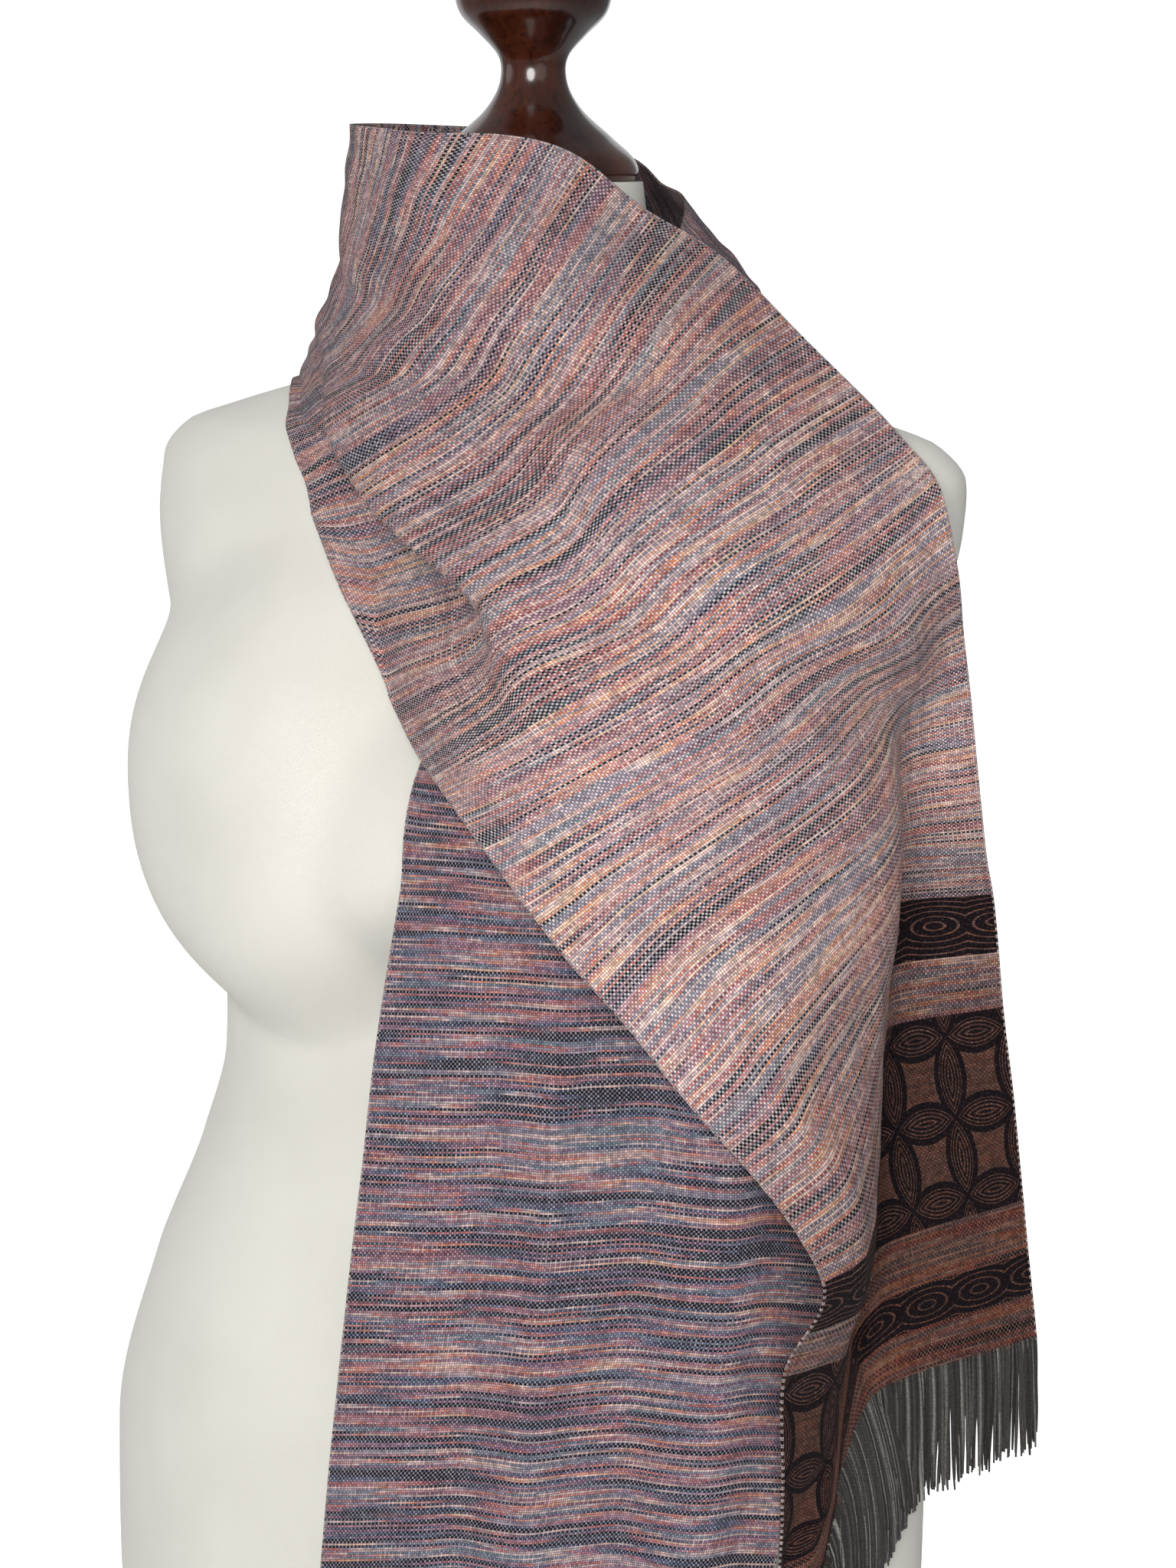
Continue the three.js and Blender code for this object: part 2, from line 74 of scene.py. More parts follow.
# Slopes of a smooth curve: at each point the mean of the two secants, the nearer one weighing more.
def smoothSlopes(xs, ys):
    gap = np.diff(xs)[:, None]
    secant = np.diff(ys, axis=0) / gap
    inner = (secant[:-1] * gap[1:] + secant[1:] * gap[:-1]) / (gap[1:] + gap[:-1])
    return np.concatenate([2 * secant[:1] - inner[:1], inner, 2 * secant[-1:] - inner[-1:]])


# Slopes of a curve that never overshoots: the weighted harmonic mean of the two secants,
# and zero where they differ in sign.
def evenSlopes(xs, ys):
    gap = np.diff(xs)[:, None]
    secant = np.diff(ys, axis=-2) / gap
    before, after = secant[..., :-1, :], secant[..., 1:, :]
    weightA, weightB = 2 * gap[1:] + gap[:-1], gap[1:] + 2 * gap[:-1]
    same = before * after > 0
    safeA, safeB = np.where(same, before, 1), np.where(same, after, 1)
    inner = np.where(same, (weightA + weightB) / (weightA / safeA + weightB / safeB), 0)
    return np.concatenate([secant[..., :1, :], inner, secant[..., -1:, :]], axis=-2)


# The dress form: a radius for each angle and height
form = {
    "top": 1438.0,  # mm, where the wooden cap starts
    "bottom": 762.0,
    "rings": 240,
    "around": 220,
    "closing": (0.02, 0.5, 0.9, 0.985),  # shares of the end rings that lead to their middles
    "sections": {  # height: half width, depth in front, depth behind, centre, squareness
        762: (176, 112, 108, -22, 2.2), 820: (190, 120, 114, -24, 2.2),
        888: (191, 120, 112, -22, 2.2), 964: (174, 114, 102, -16, 2.15),
        1020: (154, 102, 88, -10, 2.1), 1060: (145, 96, 84, -6, 2.1),
        1105: (146, 98, 88, -2, 2.15), 1171: (156, 102, 96, 0, 2.25),
        1225: (167, 98, 100, 2, 2.4), 1262: (180, 90, 98, 4, 2.4),
        1295: (190, 80, 92, 6, 2.3), 1318: (193, 72, 84, 8, 2.1),
        1332: (182, 66, 76, 8, 2.0), 1342: (152, 62, 70, 8, 1.9),
        1354: (110, 58, 64, 7, 1.9), 1370: (76, 54, 57, 5, 2.0),
        1392: (57, 50, 52, 3, 2.0), 1415: (49, 47, 48, 1, 2.0),
        1438: (46, 46, 46, 0, 2.0),
    },
    "bust": {"z": 1160, "fromFront": 38, "swell": 40, "halfAngle": 51, "above": 137, "below": 88},
}
formHeights = np.array(list(form["sections"]), float)
formValues = np.array(list(form["sections"].values()), float)
formSlopes = evenSlopes(formHeights, formValues)


# The five section values at each height, by the even cubic.
def formColumns(z):
    i, gap, t = spanOf(formHeights, np.clip(z, form["bottom"], form["top"]))
    values = cubicBetween(gap, t, formValues[i], formValues[i + 1], formSlopes[i], formSlopes[i + 1])
    return values.T


# One bust: swell k^2 (3 - 2k), with k = 1 - (angle share)^2 - (height share)^2, never below zero.
def bustSwell(angle, z, side):
    bust = form["bust"]
    apart = angle - radians(-90 + side * bust["fromFront"])
    sideways = np.degrees(np.arctan2(np.sin(apart), np.cos(apart))) / bust["halfAngle"]
    upright = (z - bust["z"]) / np.where(z > bust["z"], bust["above"], bust["below"])
    k = np.clip(1 - sideways**2 - upright**2, 0, None)
    return bust["swell"] * k * k * (3 - 2 * k)


# Radius of the form: a superellipse, (|cos|/w)^p + (|sin|/d)^p = r^-p, and the two busts.
def formRadius(angle, z, columns):
    halfWidth, front, back, _, power = columns
    across = np.abs(np.cos(angle)) / halfWidth
    deep = np.abs(np.sin(angle)) / np.where(np.sin(angle) < 0, front, back)
    box = (across**power + deep**power) ** (-1 / power)
    return box + bustSwell(angle, z, -1) + bustSwell(angle, z, 1)


# How far points lie outside the form, on the level.
def outsideForm(points):
    x, y, z = points.T
    columns = formColumns(z)
    depth = y - columns[3]
    return np.hypot(x, depth) - formRadius(np.arctan2(depth, x), z, columns)


# Moves points out along the form's gradient until each is the clearance away, in a few rounds.
def clearOfForm(points, clearance, probe=0.5, rounds=3, margin=8):
    points = points.copy()
    for _ in range(rounds):
        close = outsideForm(points) < 2 * clearance + margin
        near = np.flatnonzero((points[:, 2] < form["top"]) & close)
        if not len(near):
            break
        some = points[near]
        slope = np.stack([
            outsideForm(some + step) - outsideForm(some - step) for step in np.eye(3) * probe
        ], axis=1) / (2 * probe)
        steep = np.linalg.norm(slope, axis=1)
        push = np.clip(clearance - outsideForm(some) / steep, 0, None)
        points[near] = some + slope / steep[:, None] * push[:, None]
    return points


# The scarf's surface: a point for each distance along it and across it
scarf = {
    "width": 240.0,  # mm, selvage to selvage
    "length": 1873.0,  # mm, fringe to fringe
    "thickness": 0.9,
    "clearance": 2.4,  # from the form's skin to the middle of the cloth
    "acrossPlaces": (0, 0.2, 0.5, 0.86, 1),
    "columnsAcross": 88,
    # front end, neck, panel and side end: from and to along the scarf, and the number of rows
    "stretches": [(0, 854, 150), (854, 1173, 70), (1173, 1683, 190), (1683, 1873, 60)],
}

# Weft threads: the distance along the scarf, then five points (x, y, z in mm)
# from the edge at the neck to the free edge
weftRows = np.array([
    [0, -18, -172, 575,  27, -167, 586,  82, -146, 592,  147, -116, 596,  168, -97, 592],
    [300, -5, -165, 879,  39, -162, 887,  92, -143, 891,  152, -118, 894,  168, -95, 889],
    [446, 9, -156, 1029,  49, -154, 1033,  103, -137, 1037,  162, -105, 1037,  176, -60, 1025],
    [555, 20, -145, 1141,  61, -149, 1145,  111, -137, 1146,  160, -106, 1141,  169, -71, 1133],
    [618, 22, -121, 1205,  60, -129, 1206,  107, -130, 1205,  152, -106, 1201,  161, -71, 1194],
    [672, 50, -119, 1262,  82, -121, 1260,  118, -116, 1255,  157, -94, 1250,  164, -61, 1244],
    [732, 68, -83, 1324,  95, -84, 1318,  124, -74, 1305,  151, -47, 1292,  159, -31, 1286],
    [789, 79, -49, 1380,  96, -45, 1371,  120, -36, 1356,  144, -21, 1337,  153, -13, 1329],
    [854, 69, 5, 1423,  84, 5, 1407,  106, 6, 1386,  128, 11, 1364,  134, 20, 1354],
    [943, 37, 42, 1438,  44, 62, 1416,  53, 86, 1386,  67, 108, 1345,  71, 115, 1329],
    [990, 11, 64, 1448,  11, 87, 1420,  14, 112, 1379,  19, 129, 1328,  20, 134, 1309],
    [1042, -21, 64, 1458,  -28, 78, 1426,  -35, 93, 1378,  -41, 103, 1322,  -43, 107, 1301],
    [1091, -49, 39, 1461,  -62, 52, 1431,  -78, 66, 1382,  -92, 78, 1325,  -96, 83, 1304],
    [1130, -65, 2, 1462,  -78, 11, 1432,  -100, 30, 1383,  -123, 54, 1333,  -131, 63, 1311],
    [1173, -66, -38, 1462,  -70, -37, 1434,  -85, -28, 1387,  -116, 0, 1355,  -141, 34, 1341],
    [1223, -36, -61, 1460,  -45, -62, 1419,  -63, -57, 1379,  -91, -37, 1355,  -103, -27, 1343],
    [1254, -7, -71, 1458,  -11, -81, 1419,  -34, -83, 1371,  -78, -54, 1341,  -91, -45, 1329],
    [1279, 26, -68, 1457,  19, -90, 1416,  -12, -99, 1368,  -62, -64, 1326,  -74, -54, 1309],
    [1310, 52, -57, 1450,  51, -88, 1412,  29, -112, 1361,  -38, -80, 1300,  -60, -64, 1285],
    [1347, 76, -35, 1427,  81, -83, 1391,  65, -124, 1336,  -7, -101, 1277,  -37, -84, 1259],
    [1382, 100, -18, 1408,  109, -78, 1376,  95, -130, 1323,  26, -126, 1257,  -11, -101, 1234],
    [1421, 135, -7, 1373,  136, -72, 1344,  115, -130, 1297,  50, -144, 1234,  20, -125, 1213],
    [1463, 177, -9, 1337,  172, -64, 1314,  149, -130, 1273,  78, -161, 1216,  48, -145, 1199],
    [1488, 198, -20, 1320,  187, -63, 1295,  163, -125, 1257,  97, -165, 1202,  70, -156, 1185],
    [1511, 202, -12, 1291,  191, -42, 1273,  172, -108, 1241,  111, -165, 1187,  87, -160, 1170],
    [1548, 193, 17, 1255,  182, -10, 1244,  183, -74, 1220,  132, -154, 1161,  112, -155, 1140],
    [1575, 191, 30, 1229,  174, 3, 1222,  189, -50, 1197,  147, -141, 1142,  128, -146, 1119],
    [1607, 191, 37, 1204,  170, 10, 1198,  187, -33, 1166,  166, -126, 1109,  148, -132, 1087],
    [1639, 193, 40, 1179,  169, 12, 1175,  184, -28, 1128,  184, -104, 1078,  167, -116, 1058],
    [1664, 195, 42, 1158,  169, 10, 1158,  181, -26, 1105,  194, -82, 1047,  181, -102, 1031],
    [1683, 197, 44, 1144,  169, 8, 1144,  180, -26, 1087,  195, -72, 1018,  187, -93, 1011],
    [1730, 202, 45, 1096,  171, -3, 1093,  174, -29, 1039,  183, -67, 972,  172, -97, 971],
    [1773, 208, 45, 1055,  172, -14, 1048,  170, -38, 1003,  176, -69, 926,  171, -95, 927],
    [1817, 214, 43, 1014,  178, -22, 1005,  168, -44, 961,  167, -74, 891,  169, -93, 888],
    [1873, 224, 37, 956,  185, -27, 947,  168, -53, 919,  164, -76, 848,  165, -92, 836],
], float)
weftAt, weftPoints = weftRows[:, 0], weftRows[:, 1:]
weftSlopes = smoothSlopes(weftAt, weftPoints)
acrossPlaces = np.array(scarf["acrossPlaces"])

# The deep pleat, where the cloth rolls over itself, in mm
pleat = {
    "from": 1222, "to": 1480,  # its ends along the scarf
    "rollTo": 1412,  # where it stops doubling back
    "fadeIn": 0.38, "fadeOut": 0.56,  # shares of those lengths over which it grows and dies
    "acrossFrom": 171, "acrossTo": 190,  # its middle across the scarf, at both ends
    "width": 15, "reach": 26, "height": 21,
    "shallow": (0.30, 1348, 1398),  # share of the depth that the valley keeps, from and to
}

# Soft folds in mm: at, across, turn from the length in degrees, half length, width, height
folds = [
    (1330, 100, -38, 95, 17, -9), (1372, 190, 18, 45, 13, -4), (1400, 158, 14, 50, 14, 5),
    (1228, 90, 4, 70, 13, -3), (1262, 62, -30, 70, 15, 3), (1205, 140, 8, 60, 13, 2),
    (1290, 40, -34, 70, 14, -4), (1470, 120, -30, 70, 18, -5), (1500, 70, -30, 80, 20, 5),
    (200, 62, 0, 420, 17, -4.5), (200, 105, 0, 420, 17, 5.5), (220, 150, 0, 420, 17, -5.5),
    (220, 195, 0, 420, 17, 5), (80, 40, 3, 190, 13, 5), (90, 84, -3, 200, 13, -5),
    (70, 128, 2, 190, 14, 5), (90, 172, -2, 190, 14, -4), (760, 70, 0, 150, 15, 3),
    (760, 130, 0, 150, 15, -3), (760, 185, 0, 150, 15, 2), (1020, 120, 4, 120, 20, 4),
]

# Where the cloth is pulled on the bias: the weft's slant, and where it grows and dies
bias = {"slant": 0.17, "grows": 1180, "full": 1290, "dies": 1400, "gone": 1590}

# The finest unevenness: waves along the scarf, in mm and radians
unevenness = {
    "seed": 7,
    "waves": 14,
    "height": 0.08,
    "lengths": (22, 60),
    "turns": 0.45,  # spread of their directions
    "drift": 0.8,  # how far a wave wanders
    "driftLengths": (60, 140),
}


# The unfolded scarf: a smooth curve along each of five lines, then an even curve across them.
def plainPoints(at, across):
    i, gap, t = spanOf(weftAt, at)
    lines = cubicBetween(gap, t, weftPoints[i], weftPoints[i + 1], weftSlopes[i], weftSlopes[i + 1])
    lines = lines.reshape(-1, len(acrossPlaces), 3)
    slopes = evenSlopes(acrossPlaces, lines)
    j, step, u = spanOf(acrossPlaces, across / scarf["width"])
    row = np.arange(len(at))
    return cubicBetween(step, u, lines[row, j], lines[row, j + 1], slopes[row, j], slopes[row, j + 1])


# Vectors over their lengths.
def unit(vectors):
    return vectors / np.linalg.norm(vectors, axis=-1, keepdims=True)


# Directions on a surface by central differences: along, across, and out as their cross product.
def directions(surface, at, across, probe=0.5):
    along = unit(surface(at + probe, across) - surface(at - probe, across))
    side = unit(surface(at, across + probe) - surface(at, across - probe))
    return along, side, unit(np.cross(side, along))


# A step from 0 to 1 that starts and ends flat: 3x^2 - 2x^3.
def ease(x):
    x = np.clip(x, 0, 1)
    return x * x * (3 - 2 * x)


# The pleat: across the cloth by -s e^(-s^2), and out of it by -tanh(2s) e^(-s^2/4), with s the
# distance from its middle over its width. Both ease in. The move across is gone at the roll's
# end and the other at the pleat's end, with a shallower valley between.
def pleatMoves(at, across):
    share = (at - pleat["from"]) / (pleat["to"] - pleat["from"])
    grow = ease(share / pleat["fadeIn"])
    fade = grow * ease((1 - share) / pleat["fadeOut"])
    middle = pleat["acrossFrom"] + (pleat["acrossTo"] - pleat["acrossFrom"]) * share
    s = (across - middle) / pleat["width"]
    rollShare = (at - pleat["from"]) / (pleat["rollTo"] - pleat["from"])
    roll = grow * ease((1 - rollShare) / pleat["fadeOut"])
    shift = -pleat["reach"] * roll * s * np.exp(-s * s)
    lift = -pleat["height"] * fade * np.tanh(2 * s) * np.exp(-s * s / 4)
    less, lessFrom, lessTo = pleat["shallow"]
    lift *= 1 - (1 - less) * (s > 0) * ease((at - lessFrom) / (lessTo - lessFrom))
    return shift[:, None], lift[:, None]


# Folds: the sum of ridges, each height e^(-(beside/width)^2) e^(-(along/half length)^4).
def foldHeight(at, across):
    height = np.zeros(len(at))
    for foldAt, foldAcross, turn, halfLength, width, high in folds:
        angle = radians(turn)
        dAt, dAcross = at - foldAt, across - foldAcross
        along = dAt * np.cos(angle) + dAcross * np.sin(angle)
        beside = dAcross * np.cos(angle) - dAt * np.sin(angle)
        height += high * np.exp(-(beside / width) ** 2 - (along / halfLength) ** 4)
    return height


# Fine unevenness: a sum of sines in seeded directions, most of them along the scarf.
def crinkle(at, across):
    random = np.random.default_rng(unevenness["seed"])
    height = np.zeros(len(at))
    for _ in range(unevenness["waves"]):
        wave = random.uniform(*unevenness["lengths"])
        turn = random.normal(0, unevenness["turns"])
        phase = random.uniform(0, 2 * pi)
        drift = unevenness["drift"] * np.sin(at / random.uniform(*unevenness["driftLengths"]) + phase)
        place = across * np.cos(turn) + at * np.sin(turn)
        height += np.sin(2 * pi * place / wave + phase + drift)
    return unevenness["height"] * height


# The unfolded scarf plus its pleat, folds and unevenness, moved clear of the form.
def scarfPoints(at, across):
    _, side, out = directions(plainPoints, at, across)
    shift, lift = pleatMoves(at, across)
    height = foldHeight(at, across) + crinkle(at, across)
    points = plainPoints(at, across) + side * shift + out * (lift + height[:, None])
    return clearOfForm(points, scarf["clearance"])


# A mesh object from points in mm, arrays of faces with three or four corners,
# and for each point its place on the cloth.
def makeMesh(name, points, faces, uvs=None, sharpAngle=60):
    corners = np.concatenate([array.ravel() for array in faces])
    sizes = np.concatenate([np.full(len(array), array.shape[1]) for array in faces])
    starts = np.cumsum(sizes) - sizes
    mesh = bpy.data.meshes.new(name)
    mesh.vertices.add(len(points))
    mesh.vertices.foreach_set("co", (points / 1000).astype(np.float32).ravel())
    mesh.loops.add(len(corners))
    mesh.loops.foreach_set("vertex_index", corners.astype(np.int32))
    mesh.polygons.add(len(sizes))
    mesh.polygons.foreach_set("loop_start", starts.astype(np.int32))
    mesh.polygons.foreach_set("use_smooth", np.ones(len(sizes), bool))
    if uvs is not None:
        layer = mesh.uv_layers.new(name="clothMap")
        layer.data.foreach_set("uv", uvs[corners].astype(np.float32).ravel())
    mesh.update(calc_edges=True)
    mesh.set_sharp_from_angle(angle=radians(sharpAngle))
    piece = bpy.data.objects.new(name, mesh)
    link(piece)
    return piece


# Corner numbers of a grid's faces, seen from the side where columns x rows points.
def gridQuads(rows, columns, closed=False):
    i, j = np.meshgrid(np.arange(rows - 1), np.arange(columns if closed else columns - 1), indexing="ij")
    right = (j + 1) % columns
    here, above = i * columns, (i + 1) * columns
    return np.stack([here + j, here + right, above + right, above + j], -1).reshape(-1, 4)


# Faces of a stack of closed rings, with a fan from a pole to the first and to the last ring.
# The rings' points are numbered first, then the two poles.
def ringFaces(rings, around):
    j = np.arange(around)
    right = (j + 1) % around
    last = (rings - 1) * around
    lowPole = np.full(around, rings * around)
    lowFan = np.stack([lowPole, right, j], -1)
    highFan = np.stack([last + j, last + right, lowPole + 1], -1)
    return [gridQuads(rings, around, closed=True), np.concatenate([lowFan, highFan])]


# Two sheets of a grid, half a thickness out and in along its normal across x along, joined
# round the rim.
def shellMesh(name, grid, thickness, uvGrid):
    rows, columns = grid.shape[:2]
    normals = unit(np.cross(np.gradient(grid, axis=1), np.gradient(grid, axis=0)))
    outer = (grid + normals * thickness / 2).reshape(-1, 3)
    inner = (grid - normals * thickness / 2).reshape(-1, 3)
    faces = gridQuads(rows, columns)
    numbers = np.arange(rows * columns).reshape(rows, columns)
    rim = np.concatenate([numbers[0, :-1], numbers[:-1, -1], numbers[-1, :0:-1], numbers[:0:-1, 0]])
    onward = np.roll(rim, -1)
    count = rows * columns
    walls = np.stack([onward, rim, rim + count, onward + count], -1)
    uvs = uvGrid.reshape(-1, 2)
    allFaces = [np.concatenate([faces, faces[:, ::-1] + count, walls])]
    return makeMesh(name, np.concatenate([outer, inner]), allFaces, np.concatenate([uvs, uvs]))


# A closed tube round each path: rings of radius (cos first + sin second), across the path.
def tubes(name, paths, radii, sides, uvStart, level=(0.31, 0.95, 0.02)):
    strands, rings = paths.shape[:2]
    tangent = unit(np.gradient(paths, axis=1))
    first = unit(np.cross(tangent, np.array(level)))
    second = np.cross(tangent, first)
    angle = 2 * pi * np.arange(sides) / sides
    circle = first[:, :, None] * np.cos(angle)[:, None] + second[:, :, None] * np.sin(angle)[:, None]
    ringPoints = (paths[:, :, None] + circle * radii[:, :, None, None]).reshape(strands, -1, 3)
    points = np.concatenate([ringPoints, paths[:, :1], paths[:, -1:]], axis=1)
    perStrand = rings * sides + 2
    start = (np.arange(strands) * perStrand)[:, None, None]
    faces = [(array[None] + start).reshape(-1, array.shape[1]) for array in ringFaces(rings, sides)]
    drop = np.concatenate([np.repeat(np.linspace(0, 1, rings), sides), [0, 1]])
    uvs = np.stack(np.broadcast_arrays(uvStart[:, None], drop[None]), -1)
    return makeMesh(name, points.reshape(-1, 3), faces, uvs.reshape(-1, 2), sharpAngle=120)


# The scarf's cloth at a grid of places. In its map a place across follows the weft's own length,
# and a place along moves by slant x (across - half the width).
def buildScarf():
    parts = [np.linspace(start, end, rows, endpoint=False) for start, end, rows in scarf["stretches"]]
    at = np.concatenate(parts + [[scarf["length"]]])
    across = np.linspace(0, scarf["width"], scarf["columnsAcross"])
    atGrid, acrossGrid = np.meshgrid(at, across, indexing="ij")
    grid = scarfPoints(atGrid.ravel(), acrossGrid.ravel()).reshape(*atGrid.shape, 3)
    steps = np.linalg.norm(np.diff(grid, axis=1), axis=2)
    reach = np.concatenate([np.zeros((len(at), 1)), np.cumsum(steps, axis=1)], axis=1)
    placeAcross = scarf["width"] * reach / reach[:, -1:]
    slant, grows, full, dies, gone = bias.values()
    lean = slant * ease((at - grows) / (full - grows)) * ease((gone - at) / (gone - dies))
    placeAlong = atGrid + lean[:, None] * (placeAcross - scarf["width"] / 2)
    uvGrid = np.stack([placeAcross, placeAlong], -1) / 1000
    return shellMesh("scarf_cloth", grid, scarf["thickness"], uvGrid)


scarfCloth = buildScarf()
print("scarf cloth:", len(scarfCloth.data.polygons), "faces")

# Lengths in mm
fringe = {
    "strands": 500,
    "rings": 12,
    "sides": 5,
    "radius": 0.84,
    "radiusShares": (0.8, 1.15),  # thinnest and thickest strand
    "taper": 0.4,  # share of the radius lost at the tip
    "frontDrop": (84, 0.0),  # and more for each mm towards the free edge
    "sideDrop": (47, 0.2),
    "uneven": 6.0,  # how far strands fall short
    "clumpShort": 2.2,  # and whole clumps
    "inside": 1.5,  # how far inside the cloth they start
    "reach": 4.0,  # how far they run on past it
    "depth": 1.3,  # half the curtain's depth
    "clump": 11.0,  # from one clump of strands to the next
    "wander": (0.9, 17),  # radians, and mm along
    "bunch": 0.9,  # how far a clump draws together
    "sway": 1.1,  # spread of their own sways
    "sideCurl": (0.35, 8),  # how far, and radians down the strand
    "outCurl": (0.4, 7),
    "clearance": 2.2,
}


# Strands hang from the cloth's end: on past it by reach (1 - e^(-8t)), and down by drop t^1.1.
# They draw together by -bunch sin(turn) t, sway by sway t^2, and curl by sines of t.
def buildFringe(name, edge, beyond, dropSize, lean, seed):
    random = np.random.default_rng(seed)
    count, rings = fringe["strands"], fringe["rings"]
    place = (np.arange(count) + 0.5) / count * scarf["width"]
    edgeAt = np.full(count, float(edge))
    root = scarfPoints(edgeAt, place)[:, None]
    side, out = (array[:, None] for array in directions(scarfPoints, edgeAt, place)[1:])
    ahead = np.cross(out, side) * beyond
    t = np.linspace(0, 1, rings)[None, :, None]
    wander, wanderLength = fringe["wander"]
    clumpTurn = 2 * pi * place / fringe["clump"] + wander * np.sin(place / wanderLength)
    short = random.uniform(0, fringe["uneven"], count) + fringe["clumpShort"] * np.cos(clumpTurn)
    drop = (dropSize[0] + dropSize[1] * place - short)[:, None, None]
    sway = random.normal(0, fringe["sway"], count)[:, None, None]
    bunch = (-fringe["bunch"] * np.sin(clumpTurn))[:, None, None]
    layer = random.uniform(-fringe["depth"], fringe["depth"], count)[:, None, None]
    curl = random.uniform(0, 2 * pi, count)[:, None, None]
    sideCurl, sideTurn = fringe["sideCurl"]
    outCurl, outTurn = fringe["outCurl"]
    paths = root - ahead * fringe["inside"] + ahead * fringe["reach"] * (1 - np.exp(-8 * t))
    paths = paths + np.array(lean) * t
    paths = paths + side * (bunch * t + sway * t * t + sideCurl * np.sin(sideTurn * t + curl) * t)
    paths = paths + out * (layer * np.sqrt(t) + outCurl * np.cos(outTurn * t + curl) * t)
    paths[:, :, 2] -= (drop * t ** 1.1)[:, :, 0]
    paths = clearOfForm(paths.reshape(-1, 3), fringe["clearance"]).reshape(count, rings, 3)
    taper = 1 - fringe["taper"] * np.linspace(0, 1, rings) ** 4
    radii = fringe["radius"] * taper[None] * random.uniform(*fringe["radiusShares"], (count, 1))
    return tubes(name, paths, radii, fringe["sides"], random.uniform(0, 1, count))


frontFringe = buildFringe("fringe_front", 0, -1, fringe["frontDrop"], (0, 0, 0), 3)
sideFringe = buildFringe("fringe_side", scarf["length"], 1, fringe["sideDrop"], (0, 2, 0), 4)
print("fringes:", fringe["strands"], "strands each")


# The torso's skin: its radius all round at many heights, closed by a fan at the bottom and the top.
def buildForm():
    z = np.linspace(form["bottom"], form["top"], form["rings"])
    angle = 2 * pi * np.arange(form["around"]) / form["around"]
    zGrid, angleGrid = np.meshgrid(z, angle, indexing="ij")
    columns = formColumns(zGrid.ravel())
    radius = formRadius(angleGrid.ravel(), zGrid.ravel(), columns)
    x = radius * np.cos(angleGrid.ravel())
    y = radius * np.sin(angleGrid.ravel()) + columns[3]
    body = np.stack([x, y, zGrid.ravel()], -1).reshape(*zGrid.shape, 3)
    bottom, top = body[0].mean(axis=0), body[-1].mean(axis=0)
    under = [bottom + (body[0] - bottom) * share for share in form["closing"]]
    over = [top + (body[-1] - top) * share for share in form["closing"][::-1]]
    grid = np.concatenate([under, body, over])
    points = np.concatenate([grid.reshape(-1, 3), [bottom, top]])
    return makeMesh("form_jersey", points, ringFaces(len(grid), form["around"]), sharpAngle=50)


formJersey = buildForm()
print("form:", len(formJersey.data.polygons), "faces")

# Turned pieces, in mm
turning = {
    "capFoot": 1438.3,
    "cap": {  # rise above the foot: radius
        0: 42, 3: 44, 8: 43, 18: 33, 30: 20, 42: 14, 52: 15,
        60: 22, 68: 30, 78: 33, 88: 32, 97: 25, 103: 14, 105: 4,
    },
    "capRings": 110,
    "poleRadius": 16.0,
    "pole": (24.3, 761.7),
    "baseRadius": 190.0,
    "baseHeight": 24.0,
    "baseRounding": 6.0,
    "rimSteps": 9,
    "bevel": 0.7,
    "around": 96,
}


# A turned piece: a profile of radius and height carried round the upright axis, closed at both ends.
def turnedPiece(name, profile, sharpAngle=40):
    profile = np.array(profile, float)
    angle = 2 * pi * np.arange(turning["around"]) / turning["around"]
    radius, height = profile[:, 0, None], profile[:, 1, None]
    grid = np.stack([radius * np.cos(angle), radius * np.sin(angle), height + 0 * angle], -1)
    poles = [[0, 0, profile[0, 1]], [0, 0, profile[-1, 1]]]
    points = np.concatenate([grid.reshape(-1, 3), poles])
    return makeMesh(name, points, ringFaces(len(profile), turning["around"]), sharpAngle=sharpAngle)


# The cap's outline: a smooth cubic through its table, in fine steps.
def capProfile():
    rise = np.array(list(turning["cap"]), float)
    radius = np.array(list(turning["cap"].values()), float)[:, None]
    fine = np.linspace(0, rise[-1], turning["capRings"])
    i, gap, t = spanOf(rise, fine)
    slopes = smoothSlopes(rise, radius)
    values = cubicBetween(gap, t, radius[i], radius[i + 1], slopes[i], slopes[i + 1])[:, 0]
    return np.stack([values, turning["capFoot"] + fine], -1)


# The pole and the base: straight outlines with small bevels, and a quarter circle for the rim.
def buildStand():
    low, high = turning["pole"]
    r, edge, wide = turning["poleRadius"], turning["bevel"], turning["baseRadius"]
    pole = [(r - edge, low), (r, low + edge), (r, high - edge), (r - edge, high)]
    rounding, height = turning["baseRounding"], turning["baseHeight"]
    turn = np.radians(np.linspace(0, 90, turning["rimSteps"]))
    rim = np.stack([wide - rounding * (1 - np.cos(turn)), height - rounding * (1 - np.sin(turn))], -1)
    base = [(wide - edge, 0), (wide, edge), *rim]
    return turnedPiece("stand_pole_turned", pole), turnedPiece("stand_base_turned", base)


neckCap = turnedPiece("cap_turned", capProfile())
standPole, standBase = buildStand()
print("cap and stand built")


# Links a socket, or sets its value.
def feed(socket, value):
    if isinstance(value, bpy.types.NodeSocket):
        socket.id_data.links.new(value, socket)
    else:
        socket.default_value = value


# The node tree of the first socket among the values.
def treeOf(*values):
    return next(value.id_data for value in values if isinstance(value, bpy.types.NodeSocket))


# A node in the values' tree, with its first inputs fed by them.
def newNode(kind, *values):
    node = treeOf(*values).nodes.new(kind)
    for socket, value in zip(node.inputs, values):
        feed(socket, value)
    return node


# A math node on the values.
def calc(operation, *values):
    node = newNode("ShaderNodeMath", *values)
    node.operation = operation
    return node.outputs[0]


